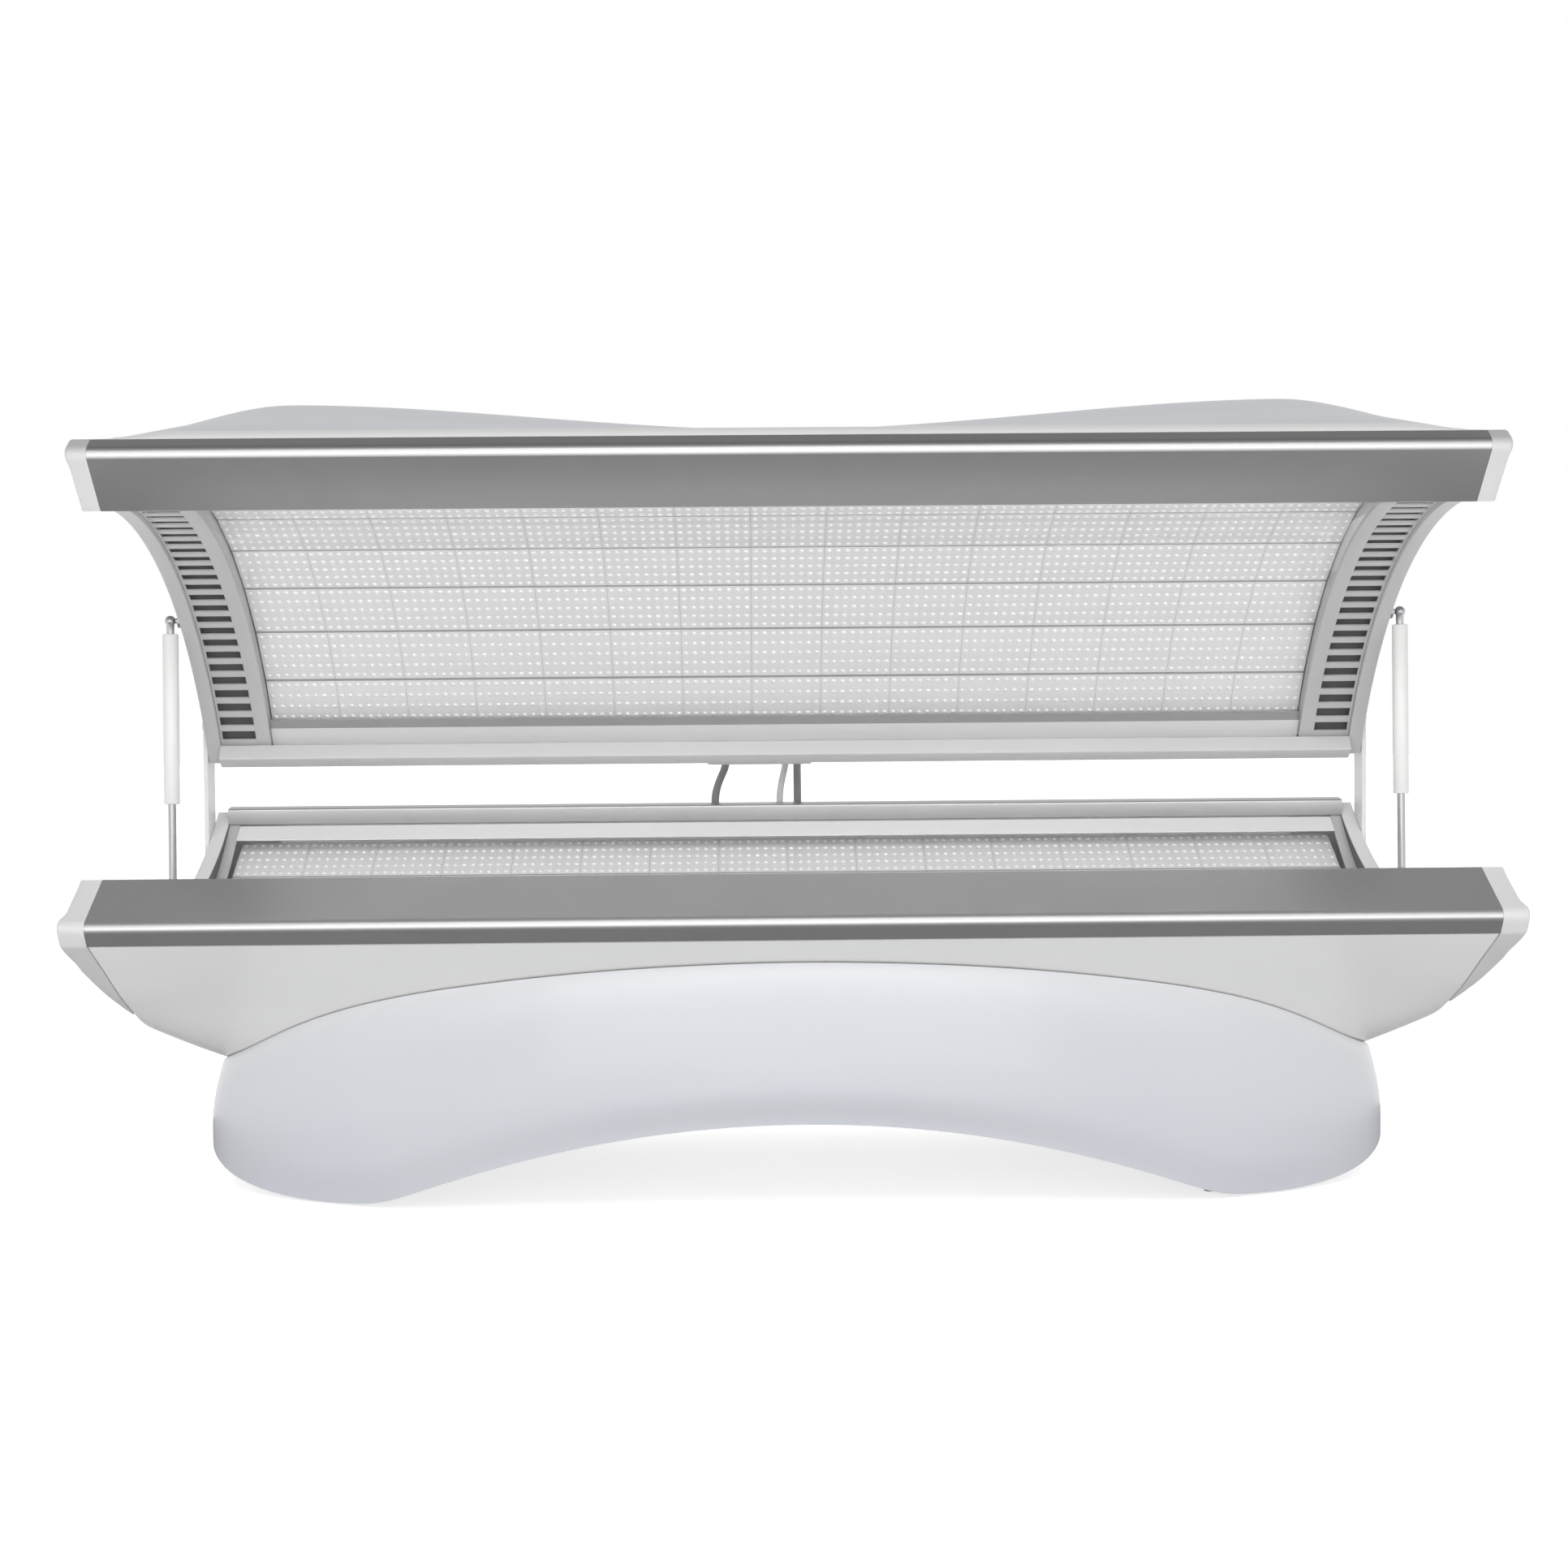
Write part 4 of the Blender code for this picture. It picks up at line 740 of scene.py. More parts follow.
def build_skirts():
    """Each skirt: the oval from under the tub down to the arch, swelling to its widest and in at the hem."""
    turn = np.linspace(0, math.pi / 2, 8)
    edge = SKIRT_EDGE_SHARE * (1 - np.cos(turn))
    hem = 1 - HEM_SHARE * np.cos(np.linspace(HEM_FROM, math.pi / 2, 8))
    levels = np.concatenate([edge, np.linspace(*SKIRT_MIDDLE, 25), hem])
    swell = PEDESTAL_FLARE * np.sin(math.pi / 2 * np.minimum(levels / SKIRT_WIDEST, 1.0))
    tuck = SKIRT_HEM * smooth_step((levels - SKIRT_WIDEST) / (1 - SKIRT_WIDEST))
    turned_in = np.zeros_like(levels)
    turned_in[: len(turn)] = 1 - np.sin(turn)
    centre = (0.0, FRONT_Y + PEDESTAL_CENTRE, NOSE_HEIGHT / 2)
    for name, first, last in (("front_skirt", math.pi, 2 * math.pi), ("rear_skirt", 0.0, math.pi)):
        turn = np.linspace(first + SKIRT_SEAM, last - SKIRT_SEAM, 161)
        x, y = pedestal_plan(turn, 0.0)
        out = np.abs(x - PEDESTAL_SET_OVER)
        round_by = np.interp(smooth_step(np.interp(out, SKIRT_ROUND_FROM, (0, 1))), (0, 1), SKIRT_ROUND)
        tucked = 1 - smooth_step(np.interp(out, TUCK_TO, (0, 1)))
        inner = pedestal_plan(turn, -SKIRT_WALL - round_by)
        top = np.minimum(hull_underside(x, y), hull_underside(*inner)) - SKIRT_TOP_GAP
        low = np.minimum(skirt_low(x - PEDESTAL_SET_OVER), top - SKIRT_LEAST)
        flare = swell - round_by[:, None] * turned_in - tucked[:, None] * tuck
        height = top[:, None] + (low - top)[:, None] * levels
        grid = np.stack([*pedestal_plan(turn[:, None], flare), height], -1)
        shape = walled(grid, SKIRT_WALL, centre)
        skirt = piece(f"moulded_{name}", shape, BLUISH_ABS, "base", [name])
        # Painted highlight: the skirt's colour turns paler towards its top edge, where the light falls
        order = np.argsort(x)
        below = np.interp(shape[0][:, 0], x[order], top[order]) - shape[0][:, 2]
        thin = skirt.data.attributes.new("thin_edge", "FLOAT", "POINT")
        thin.data.foreach_set("value", np.exp(-np.maximum(below, 0.0) / SKIRT_PAINTED_LIGHT_FALL))


def build_feet():
    """Rubber feet: a turned pad with a soft lower edge and a shoulder, well in behind the skirt's hem."""
    pad, stem = FOOT_RADII
    for name in [f"foot_{row}_{side}" for row in ("front", "rear") for side, _ in SIDES]:
        low, high = (np.array(corner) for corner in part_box(name))
        middle, height = (low + high) / 2, high[2] - low[2]
        profile = [(0, 0), (pad - FOOT_EDGE, 0), (pad, FOOT_EDGE), (pad, FOOT_PAD_HEIGHT)]
        profile += [(stem, FOOT_STEM_FROM), (stem, height), (0, height)]
        shape = turned(profile, (middle[0], middle[1], low[2]), (0, 0, 1), 32)
        piece(f"rubber_{name}", shape, RUBBER, "base", [name], sharp=25.0)


def rail_back(half):
    """The inner side of the front rail, from its under face to its broad face."""
    return np.array((RAIL_FOOT, RAIL_FOLD, (half.face_depth, FACE_EDGE - half.face_rise)))


def rail_front(half, steps=18):
    """The show side of the front rail: broad face, arc of the nose, short under face."""
    turn = np.radians(np.linspace(*NOSE_TURN, steps))
    nose = np.array((NOSE_RADIUS, NOSE_DROP)) - NOSE_RADIUS * np.stack([np.cos(turn), np.sin(turn)], -1)
    lip = [(UNDER_SET_BACK, UNDER_FACE), (UNDER_SET_BACK + UNDER_LIP, UNDER_FACE - UNDER_LIP / 2)]
    return np.vstack([(half.face_depth, -half.face_rise), nose, lip])


def build_rails(half):
    """Front and rear rail: one closed outline of the section each, carried along X."""
    front = np.vstack([rail_front(half), rail_back(half)])
    shape = along_x(half, front, -HALF_LENGTH, HALF_LENGTH)
    stand_in(half, "brushed", "front_rail", shape, ALUMINIUM, sharp=28.0)
    near, far, edge = REAR_RAIL_FACE, REAR_RAIL_FACE + REAR_RAIL_DEPTH, REAR_RAIL_EDGE
    top, low = -REAR_RAIL_TOP, REAR_RAIL_LOW
    rear = rounded(
        [(near, top), (far, top), (far, low), (near, low - edge / 4)], (edge / 2, edge, edge / 3, edge / 3)
    )
    finish = ALUMINIUM if half is BASE else PALE_COAT
    shape = along_x(half, rear, -VENT_FAR, VENT_FAR)
    stand_in(half, "brushed", "rear_rail", shape, finish)


def build_rail_caps(half):
    """End caps: rings across the cap, from the rail's broad face round its nose and down the hull's edge."""
    under = hull_lines(np.array([HALF_LENGTH]), np.linspace(0, 1, 91))[0]
    outer = np.vstack([rail_front(half)[:-1], under[under[:, 0] < CAP_TAIL]])
    run = np.concatenate([[0], np.cumsum(np.linalg.norm(np.diff(outer, axis=0), axis=1))])
    keep = np.linspace(0, 1, 90)
    outer = np.stack([np.interp(keep * run[-1], run, outer[:, k]) for k in range(2)], -1)
    back = rail_back(half)[::-1]
    inner = np.stack([np.interp(keep, CAP_TURN_AT, back[:, k]) for k in range(2)], -1)
    tail = keep > CAP_TURN_AT[-1]
    inner[tail] = back[2] + (outer[tail] - outer[tail][0]) * CAP_TAIL_SHRINK
    reach = half.cap_reach * np.clip((1 - keep) / CAP_TAPER, CAP_LEAST, 1.0) ** CAP_TAPER_POWER
    past = keep * run[-1] - CAP_BULGE_AT
    past = past / np.where(past < 0, *CAP_BULGE_RUN)
    reach = reach + half.cap_bulge * np.exp(-(past**4))
    depth = np.linalg.norm(inner - outer, axis=1)
    edge = np.minimum(CAP_ROUND, CAP_EDGE_SHARE * np.minimum(reach, depth))
    towards = (inner - outer) / depth[:, None]
    turn = np.linspace(0, math.pi / 2, 6)
    start = HALF_LENGTH + GAP
    rise = np.concatenate([[np.zeros_like(reach)], reach - edge + edge * np.sin(turn)[:, None]])
    step = np.concatenate([[np.zeros_like(reach)], edge * (1 - np.cos(turn))[:, None]])
    rise = np.concatenate([rise, rise[::-1]])
    step = np.concatenate([step, (depth - step)[::-1]])
    line = outer + step[..., None] * towards
    # The canopy's caps take the darker grey: painted shade against the strip light that falls on them
    finish = GREY_ABS if half is BASE else VENT_AND_CAP_SHADE_ABS
    for side, sign in SIDES:
        rings = spread(half, line, sign * (start + rise))
        shape = swept(np.swapaxes(rings, 0, 1))
        stand_in(half, "moulded", f"rail_cap_{side}", shape, finish)


def build_end_panels(half):
    """End panels: the tunnel arc above and the inside of the hull below, 24 mm thick with soft edges."""
    under = hull_lines(np.array([HALF_LENGTH]), np.linspace(0, 1, 64))[0]
    inner = under - (HULL_WALL + 2 * GAP) * section_normals(under)
    back = rail_back(half)[:2]
    back = back + 10 * GAP * section_normals(rail_back(half))[:2]
    outline = np.vstack([rim(half, np.linspace(0, 1, 60), 0.0), inner[-4:4:-1], back])
    finish = PANEL_ABS if half is BASE else VENT_AND_CAP_SHADE_ABS
    for side, sign in SIDES:
        ends = sorted((sign * HALF_LENGTH, sign * (HALF_LENGTH - PANEL_WIDTH)))
        shape = along_x(half, outline, *ends, edge=PANEL_ROUND)
        stand_in(half, "moulded", f"end_panel_{side}", shape, finish)


def arc_strip(half, sign, u, span, depth, wall, round_to=0.0008):
    """A strip that follows the tunnel arc over a span of X on one side: a rounded section along the arc."""
    x0, x1 = sorted(sign * x for x in span)
    depth, wall = (np.broadcast_to(value, u.shape)[:, None] for value in (depth, wall))
    thick = wall.max()
    corner = rounded([(x0, 0.0), (x1, 0.0), (x1, thick), (x0, thick)], round_to, 3)
    line = rim(half, u[:, None] + 0 * corner[:, 0], depth + corner[:, 1] * wall / thick)
    return swept(spread(half, line, corner[:, 0]))


def build_base_strips():
    """Beside the base's lamps: a strip that sinks away from the end panel, and a dark sheet of painted shade
    on the side it leaves.
    """
    u = np.linspace(FRONT_SHARE, 1 - REAR_SHARE, 90)
    sunk = np.interp(1 - REAR_SHARE - u, (0, STRIP_SINK_RUN), STRIP_DEPTH)
    deep = np.maximum(sunk - SIDE_SHORT, SIDE_LEAST)
    for side, sign in SIDES:
        strip = arc_strip(BASE, sign, u, (BASE.lamp_end + STRIP_CLEAR, VENT_FAR), sunk, VENT_WALL)
        stand_in(BASE, "moulded", f"vent_{side}", strip, VENT_AND_CAP_SHADE_ABS)
        # The side that the sunk strip leaves: a dark sheet of painted shade
        span = [VENT_FAR - by for by in SIDE_WALL]
        side_face = arc_strip(BASE, sign, u, span, SIDE_FROM, deep, SIDE_LEAST)
        piece(f"liner_base_vent_{side}", side_face, SHADE_LINER, "base")


def build_vents(half):
    """Slotted vents: a plain strip, an outer border and a bar between each two slots, all along the arc."""
    slot_end = VENT_FAR - SLOT_MARGIN
    slot_start = slot_end - SLOT_LENGTH
    length = np.linalg.norm(np.diff(rim(half, np.linspace(0, 1, 200), 0.0), axis=0), axis=1).sum()
    pitch = length * (1 - FRONT_SHARE - REAR_SHARE) / (SLOT_COUNT + 0.5)
    starts = length * FRONT_SHARE + pitch * (np.arange(SLOT_COUNT) + 0.75) - SLOT_WIDTH / 2
    bars = [(FRONT_SHARE, starts[0] / length)]
    bars += [((a + SLOT_WIDTH) / length, b / length) for a, b in zip(starts, starts[1:])]
    bars += [((starts[-1] + SLOT_WIDTH) / length, 1 - REAR_SHARE)]
    whole = np.linspace(FRONT_SHARE, 1 - REAR_SHARE, 90)
    behind = VENT_DEPTH + VENT_WALL
    between = (slot_start - BAR_OVERLAP, slot_end + BAR_OVERLAP)
    plain = ((VENT_NEAR, slot_start), (slot_end, VENT_FAR))
    strips = [(whole, span, VENT_DEPTH, VENT_WALL) for span in plain]
    strips += [(np.linspace(*bar, 4), between, VENT_DEPTH + BAR_SUNK, VENT_WALL) for bar in bars]
    strips += [(whole, [VENT_NEAR + by for by in VENT_SIDE], behind, LAMP_DEPTH - behind)]
    for side, sign in SIDES:
        shape = joined(arc_strip(half, sign, *strip) for strip in strips)
        stand_in(half, "moulded", f"vent_{side}", shape, VENT_AND_CAP_SHADE_ABS)
        # Behind the slots a dark sheet: painted shade in the depth of the vent
        span = (slot_start - LINER_OVER, VENT_FAR - GAP)
        liner = arc_strip(half, sign, whole, span, VENT_DEPTH + LINER_BEHIND, VENT_WALL)
        piece(f"liner_{half.name}_vent_{side}", liner, SHADE_LINER, half.name)


def build_acrylic(half):
    """The clear sheet: two lines along the tunnel arc, a wall apart, carried along X."""
    u = np.linspace(FRONT_SHARE, 1 - REAR_SHARE, 120)
    outline = np.vstack([rim(half, u, ACRYLIC_DEPTH), rim(half, u, ACRYLIC_DEPTH + ACRYLIC_WALL)[::-1]])
    reach = half.lamp_end - GAP
    stand_in(half, "clear", "acrylic", along_x(half, outline, -reach, reach), ACRYLIC)


def board_frames(half):
    """Each lamp row's two edges, their direction and the way into the tunnel, in (s, t)."""
    edges = rim(half, np.linspace(LAMP_EDGE_SHARE, 1 - LAMP_EDGE_SHARE, LAMP_ROWS + 1), LAMP_DEPTH)
    low, high = edges[:-1], edges[1:]
    along = unit(high - low)
    return low, high, along, -left_of(along)


def plate(a, b, down):
    """The outline of a flat plate from a to b and down from there."""
    return np.array([a, b, b - down, a - down])


def build_lamp_boards(half):
    """Seven rows of boards, thin plates with small gaps, and the foils that show through the gaps."""
    first = LAMP_GAP - half.lamp_end
    pitch = -2 * first / half.modules
    starts = first + np.arange(half.modules) * pitch
    boards, seams, joints = [], [], []
    for a, b, run, up in zip(*board_frames(half)):
        gap, edge = run * ROW_GAP / 2, run * SEAM_WIDTH / 2
        thick, sunk = up * FOIL_WALL, up * FOIL_SUNK
        board, joint = plate(a + gap, b - gap, up * LAMP_WALL), plate(a + edge, b - edge, thick) - sunk
        seams.append(along_x(half, plate(a - edge, a + edge, thick) - sunk, first, -first))
        for x in starts:
            boards.append(along_x(half, board, x + MODULE_GAP / 2, x + pitch - MODULE_GAP / 2))
        for x in starts[1:]:
            joints.append(along_x(half, joint, x - JOINT_HALF_WIDTH, x + JOINT_HALF_WIDTH))
    name = f"{half.name}_lamp_panel"
    piece(f"boards_{name}", joined(boards), BOARD, half.name, [name])
    piece(f"seams_{name}", joined(seams), SEAM_AND_SHADE_FOIL, half.name)
    piece(f"joints_{name}", joined(joints), JOINT_AND_SHADE_FOIL, half.name)
    # The band along the boards' rear edge is painted shade: a grey band where the gap there lies in shade
    strips = [
        ("edge_foil", half.foil, half.foil_span, 4, STRIP_BEHIND),
        ("white_strip", WHITE_SHEET, (half.foil_span[1], STRIP_END), 4, STRIP_BEHIND),
        ("retainer", WHITE_SHEET, RETAINER_SHARE, 6, RETAINER_DEPTH),
    ]
    for kind, finish, span, count, depth in strips if half is BASE else strips[:2]:
        u = np.linspace(*span, count)
        outline = np.vstack([rim(half, u, depth), rim(half, u, depth + STRIP_WALL)[::-1]])
        piece(f"{kind}_{name}", along_x(half, outline, first, -first), finish, half.name)


def build_diodes(half):
    """Lenses of the diodes: one low eight-sided dome, repeated on a grid over every board."""
    around = LENS_SIDES
    angle = np.linspace(0, 2 * math.pi, around, endpoint=False)
    ring = np.stack([np.cos(angle), np.sin(angle)], -1) * LENS_RADIUS
    shoulder = np.column_stack([ring * LENS_SHOULDER, np.full(around, LENS_HEIGHT * LENS_SHOULDER)])
    dome = np.vstack([np.column_stack([ring, np.zeros(around)]), shoulder, [(0.0, 0.0, LENS_HEIGHT)]])
    sides = quads(2, around, wrap=True)
    top = [[around + i, around + (i + 1) % around, 2 * around] for i in range(around)]
    foot = [list(range(around))[::-1]]
    low, high, along, inwards = board_frames(half)
    count = half.modules * DIODES_ALONG
    x = (half.lamp_end - LAMP_GAP) * (2 * (np.arange(count) + 0.5) / count - 1)
    share = (np.arange(DIODES_ACROSS) + 0.5) / DIODES_ACROSS
    middle = low[:, None] + (high - low)[:, None] * share[:, None]
    spots = (middle[:, :, None] + 0 * x[:, None]).reshape(-1, 2)
    rows = np.repeat(np.arange(LAMP_ROWS), DIODES_ACROSS * len(x))
    xs = np.tile(x, LAMP_ROWS * DIODES_ACROSS)
    section = spots[:, None] + dome[None, :, 1:2] * along[rows][:, None]
    section = section + (dome[None, :, 2:] + GAP / 3) * inwards[rows][:, None]
    points = spread(half, section, xs[:, None] + dome[:, 0])
    shapes = [np.array(f) for f in (sides, top, foot)]
    flip = np.cross((1.0, 0.0, 0.0), (0.0, *(half.place(along[0]) - half.origin)))
    up = (0.0, *(half.place(inwards[0]) - half.origin))
    if np.dot(flip, up) < 0:
        shapes = [f[:, ::-1] for f in shapes]
    start = np.arange(len(xs))[:, None, None] * len(dome)
    faces = [side for f in shapes for side in (f[None] + start).reshape(-1, f.shape[1]).tolist()]
    shape = points.reshape(-1, 3), faces
    piece(f"lenses_{half.name}", shape, LENS, half.name, sharp=80.0)


def build_hinges():
    """Hinge arms: flat bars with a round top about the pivot, and the heads of their pins."""
    half_width = ARM_WIDTH / 2
    turn = np.linspace(0, math.pi, 25)
    top = PIVOT + half_width * np.stack([np.cos(turn), np.sin(turn)], -1)
    foot = [(PIVOT[0] - half_width, PIVOT[1] - ARM_LOW), (PIVOT[0] + half_width, PIVOT[1] - ARM_LOW)]
    world = Half("world", (0.0, 0.0), (1.0, 0.0), (0.0, 1.0))
    outline = np.vstack([top, foot])
    for side, sign in SIDES:
        start = HALF_LENGTH + GAP
        ends = sorted((sign * start, sign * (start + ARM_WALL)))
        shape = along_x(world, outline, *ends, edge=ARM_EDGE)
        piece(f"bar_hinge_arm_{side}", shape, PAINTED, "base", [f"hinge_arm_{side}"])
        length = PANEL_WIDTH + ARM_WALL + 2 * GAP
        head = PIN_HEAD + length
        profile = [(radius, head - drop) for radius, drop in PIN_DOME]
        profile += [(PIN_HEAD_RADIUS, length), (PIN_RADIUS, length), (PIN_RADIUS, 0.0), (0.0, 0.0)]
        shape = turned(profile, (sign * (HALF_LENGTH - PANEL_WIDTH), *PIVOT), (sign, 0, 0))
        piece(f"turned_hinge_pin_{side}", shape, STEEL, "base", [f"hinge_pin_{side}"])


def ball(centre, low, high, count=12):
    """A round end: points of a profile on a ball, from the angle high down to low."""
    angle = np.radians(np.linspace(high, low, count))
    return np.stack([np.maximum(BALL_RADIUS * np.cos(angle), 0.0), centre + BALL_RADIUS * np.sin(angle)], -1)


def build_springs():
    """Gas springs: the painted tube with its plug, and the bright rod, turned about the line of two balls."""
    top, foot = CANOPY.place(SPRING_TOP), BASE.place(SPRING_FOOT)
    reach = np.linalg.norm(foot - top)
    axis = (0.0, *((foot - top) / reach))
    end = NECK_LENGTH + TUBE_LENGTH
    bore, third = ROD_RADIUS + GAP, TUBE_EDGE / 3
    edge = [(TUBE_RADIUS - TUBE_EDGE, 0.0), (TUBE_RADIUS - third, third), (TUBE_RADIUS, TUBE_EDGE)]
    tube = [(0.0, end - PLUG_DEPTH), (bore, end - PLUG_DEPTH), (bore, end - PLUG_EDGE)]
    tube += [(radius, end - by) for radius, by in edge]
    tube += [(radius, NECK_LENGTH + by) for radius, by in edge[::-1]] + [(0.0, NECK_LENGTH)]
    fitting = [(0.0, NECK_LENGTH + TUBE_EDGE), (NECK_RADIUS, NECK_LENGTH + TUBE_EDGE), *ball(0.0, -90, 42)]
    rod = [*ball(reach, -42, 90), (NECK_RADIUS, reach - NECK_LENGTH), (ROD_RADIUS, reach - NECK_LENGTH)]
    rod += [(ROD_RADIUS, end - ROD_IN_TUBE), (0.0, end - ROD_IN_TUBE)]
    for side, sign in SIDES:
        start = (sign * (HALF_LENGTH + SPRING_OFFSET), *top)
        for name, profile, finish, slot, part, nodes in (
            ("tube", tube, PAINTED, "white_painted_steel", "tube", [f"gas_spring_tube_{side}"]),
            ("fitting", fitting, STEEL, "bright_steel", "tube", []),
            ("rod", rod, STEEL, "bright_steel", "rod", [f"gas_spring_rod_{side}"]),
        ):
            shape = turned(profile, start, axis)
            piece(f"turned_spring_{name}_{side}", shape, finish, f"spring_{part}_{side}", nodes)


def build_glands():
    """The gland bars: rounded sections along X behind the rear rails, the canopy's tucked up."""
    low_x, high_x = (CABLES[k][1] + sign * (GLAND_MARGIN + GLAND_OVER) for k, sign in ((0, -1), (2, 1)))
    for half, lift in ((BASE, 0.0), (CANOPY, GLAND_LIFT)):
        near, far = GLAND_AT[0] - GLAND_DEPTH / 2, GLAND_AT[0] + GLAND_DEPTH / 2
        low, high = GLAND_AT[1] + lift - GLAND_HEIGHT / 2, GLAND_AT[1] + lift + GLAND_HEIGHT / 2
        outline = rounded([(near, low), (far, low), (far, high), (near, high)], GLAND_ROUND)
        shape = along_x(half, outline, low_x, high_x, edge=GLAND_EDGE)
        stand_in(half, "moulded", "cable_gland", shape, GREY_ABS)


def build_cables():
    """Cables: round tubes on a cubic run from the base's gland bar up and over to the canopy's."""
    leave = BASE.place((GLAND_AT[0], GLAND_AT[1] - GLAND_HEIGHT / 2 - GAP))
    arrive = CANOPY.place((GLAND_AT[0] + GLAND_DEPTH / 2 + GAP, GLAND_AT[1] + GLAND_LIFT))
    up, back = -BASE.outwards, CANOPY.along
    start, end = leave + up * CABLE_STUB, arrive + back * CABLE_STUB
    u = np.linspace(0, 1, 40)[:, None]
    run = start * (2 * u**3 - 3 * u**2 + 1) + end * (3 * u**2 - 2 * u**3)
    run = run + CABLE_PULL * (up * (u**3 - 2 * u**2 + u) - back * (u**3 - u**2))
    line = np.vstack([leave, run, arrive])
    normal = section_normals(line)
    angle = np.linspace(0, 2 * math.pi, 20, endpoint=False)
    share = smooth_step(np.linspace(0, 1, len(line)))[:, None]
    for name, x, radius, low_by, high_by in CABLES:
        section = line[:, None] + radius * np.sin(angle)[:, None] * normal[:, None]
        xs = x + low_by * (1 - share) + high_by * share + radius * np.cos(angle)
        pale = name == "middle"
        finish, slot = (PALE_SHEATH, "pale_grey_cable") if pale else (DARK_SHEATH, "dark_grey_cable")
        shape = swept(np.concatenate([xs[..., None], section], -1))
        obj = piece(f"sheath_cable_{name}", shape, finish, None, [f"cable_{name}"])
        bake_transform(obj)


def dress_nodes():
    """Every CAD node takes the finish of its record slot; a node that a piece stands for keeps it unseen."""
    for sub in frame["record"]["subparts"]:
        slots = frame["nodes"][sub["node"]].data.materials
        slots.clear()
        slots.append(FINISHES[sub["material_slot"]])


def card(name, finish, x, near, far, height):
    """A level rectangle of the studio, outside the object."""
    mesh = bpy.data.meshes.new(name)
    corners = [(-x, near, height), (x, near, height), (x, far, height), (-x, far, height)]
    mesh.from_pydata(corners, [], [(0, 1, 2, 3)])
    mesh.materials.append(finish)
    obj = bpy.data.objects.new(name, mesh)
    bpy.context.scene.collection.objects.link(obj)
    return obj


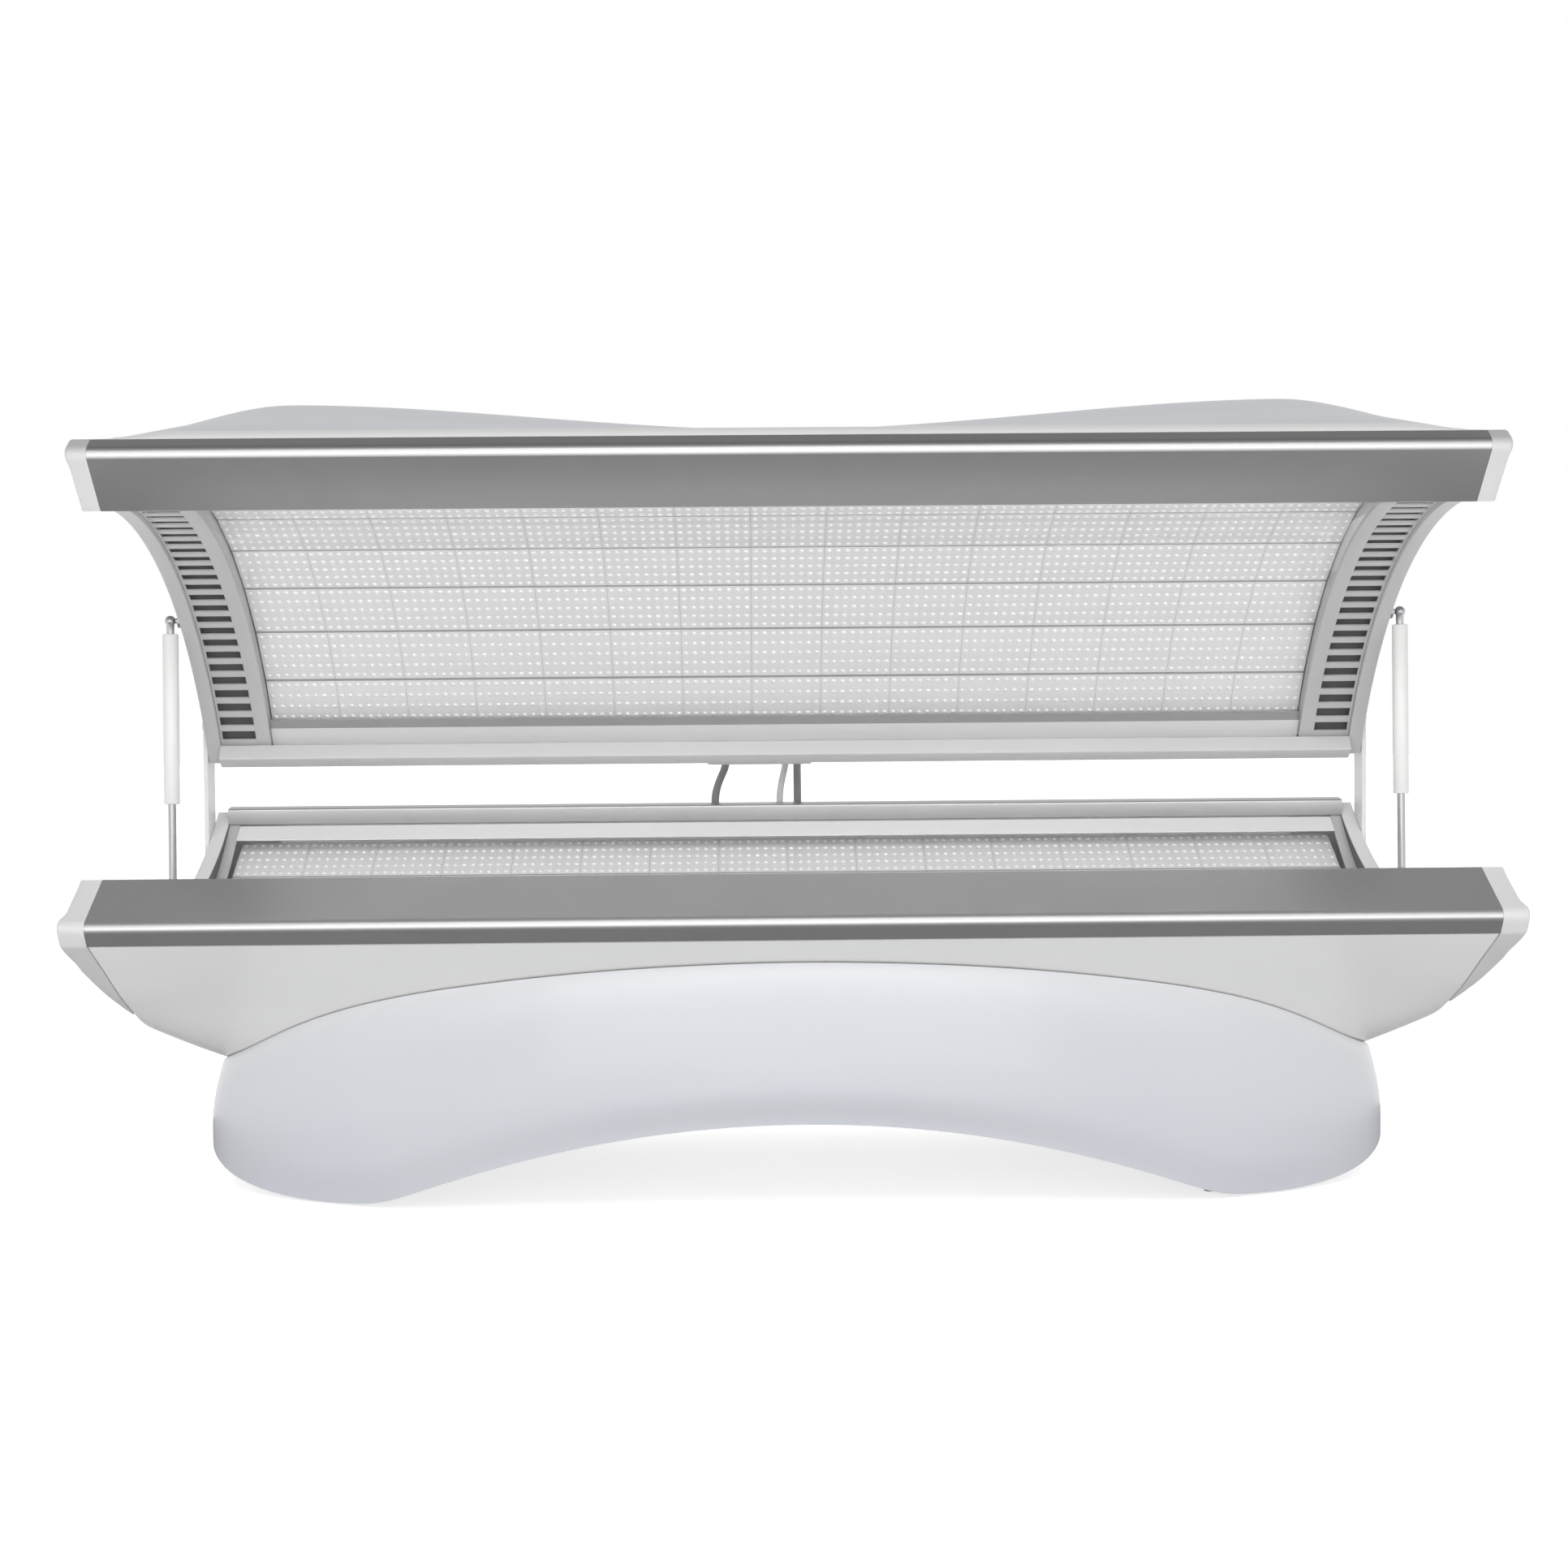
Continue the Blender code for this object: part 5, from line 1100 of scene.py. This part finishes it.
def build_studio():
    """A pale floor, two cards that only reflections see, a white surround with a dim ceiling, soft lamps."""
    made, tree, output, _ = new_finish("pale studio floor")
    path = add_node(tree, "ShaderNodeLightPath").outputs
    mirrored = {0: path["Is Glossy Ray"], 1: path["Is Transmission Ray"]}
    mirrored = add_node(tree, "ShaderNodeMath", mirrored, operation="MAXIMUM")
    seen = {0: path["Is Camera Ray"], 1: mirrored.outputs[0]}
    seen = add_node(tree, "ShaderNodeMath", seen, operation="MAXIMUM")
    level = add_node(tree, "ShaderNodeMath", {0: seen.outputs[0], 1: FLOOR_GLOW}, operation="MULTIPLY")
    diffuse = add_node(tree, "ShaderNodeBsdfDiffuse", {"Color": linear("#F2F2F2")})
    glow = add_node(tree, "ShaderNodeEmission", {"Color": linear("#FFFFFF"), "Strength": level.outputs[0]})
    both = add_node(tree, "ShaderNodeAddShader", {0: diffuse.outputs["BSDF"], 1: glow.outputs["Emission"]})
    tree.links.new(both.outputs["Shader"], output.inputs["Surface"])
    card("studio_floor", made, FLOOR_REACH, -FLOOR_REACH, FLOOR_REACH, 0)
    grey, dim = {"Color": linear("#A4A4A4")}, {"Color": linear("#FFFFFF"), "Strength": FLAG}
    for name, kind, inputs, place in (
        ("floor_cloth", "ShaderNodeBsdfDiffuse", grey, (1.8, -1.6, 0.6, 0.001)),
        ("dark_flag", "ShaderNodeEmission", dim, (1.18, -0.58, -0.16, 1.5)),
    ):
        made, tree, output, _ = new_finish(name.replace("_", " "))
        tree.links.new(add_node(tree, kind, inputs).outputs[0], output.inputs["Surface"])
        obj = card(name, made, *place)
        obj.visible_camera = obj.visible_diffuse = obj.visible_shadow = obj.visible_transmission = False

    world = bpy.data.worlds.new("white studio")
    bpy.context.scene.world = world
    world.use_nodes = True
    tree = world.node_tree
    tree.nodes.clear()
    way = add_node(tree, "ShaderNodeTexCoord").outputs["Generated"]
    height = add_node(tree, "ShaderNodeSeparateXYZ", {"Vector": way}).outputs["Z"]
    dimming = {"Value": height, "From Min": 0.30, "From Max": 0.75, "To Min": 1.0, "To Max": CEILING}
    room = add_node(tree, "ShaderNodeMapRange", dimming, interpolation_type="SMOOTHSTEP").outputs["Result"]
    sky = add_node(tree, "ShaderNodeBackground", {"Color": linear("#FFFFFF"), "Strength": room})
    add_node(tree, "ShaderNodeOutputWorld", {"Surface": sky.outputs["Background"]})

    # The near strips light the open tunnel, not the skins that swing in front of them as the canopy closes
    spared = bpy.data.collections.new("outer skins of the canopy")
    for name in ("moulded_top_cover", "moulded_shell", "moulded_shell_lip"):
        spared.objects.link(bpy.data.objects[name])
    for held in spared.collection_objects:
        held.light_linking.link_state = "EXCLUDE"
    for name, at, target, size, power in (
        ("front softbox", (0.0, -5.2, 0.95), (0.0, 0.0, 0.75), (6.5, 1.8), 68.0),
        ("high front softbox", (0.0, -4.2, 3.2), (0.0, 0.0, 0.6), (4.5, 0.8), 34.0),
        ("low strip light, left", (-1.3, -1.1, 0.08), (-0.8, -0.40, 0.36), (1.5, 0.12), 1.3),
        ("low strip light, right", (1.3, -1.1, 0.08), (0.8, -0.40, 0.36), (1.5, 0.12), 1.3),
        ("strip light into the tub", (0.0, -0.60, 0.98), (0.0, 0.20, 0.50), (2.4, 0.12), 3.2),
        ("strip light before the opening", (0.0, -0.85, 0.60), (0.0, -0.38, 1.43), (2.6, 0.22), 2.8),
    ):
        lamp = bpy.data.lights.new(name, "AREA")
        lamp.shape = "RECTANGLE"
        lamp.size, lamp.size_y = size
        lamp.energy = power
        obj = bpy.data.objects.new(name, lamp)
        turn = (Vector(target) - Vector(at)).to_track_quat("-Z", "Y").to_matrix().to_4x4()
        obj.matrix_world = Matrix.Translation(at) @ turn
        if "strip" in name:
            obj.visible_glossy = False
            obj.light_linking.receiver_collection = spared
        bpy.context.scene.collection.objects.link(obj)
    bpy.context.scene.view_settings.view_transform = "Standard"


def build_camera():
    """The photograph's viewpoint: yaw about Z, pitch, then roll about the line of sight."""
    turn = Matrix.Rotation(-CAMERA_YAW, 4, "Z") @ Matrix.Rotation(math.pi / 2 + CAMERA_PITCH, 4, "X")
    camera = bpy.data.cameras.new("camera")
    camera.lens = CAMERA_LENS
    camera.sensor_width = 36.0
    obj = bpy.data.objects.new("camera", camera)
    obj.matrix_world = Matrix.Translation(CAMERA_AT) @ turn @ Matrix.Rotation(CAMERA_ROLL, 4, "Z")
    bpy.context.scene.collection.objects.link(obj)
    bpy.context.scene.camera = obj


dress_nodes()
build_hulls()
build_shell_lip()
build_top_cover()
build_skirts()
build_feet()
for half in HALVES:
    build_rails(half)
    build_rail_caps(half)
    build_end_panels(half)
    build_acrylic(half)
    build_lamp_boards(half)
    build_diodes(half)
build_vents(CANOPY)
build_base_strips()
build_hinges()
build_springs()
build_glands()
build_cables()
build_studio()
build_camera()
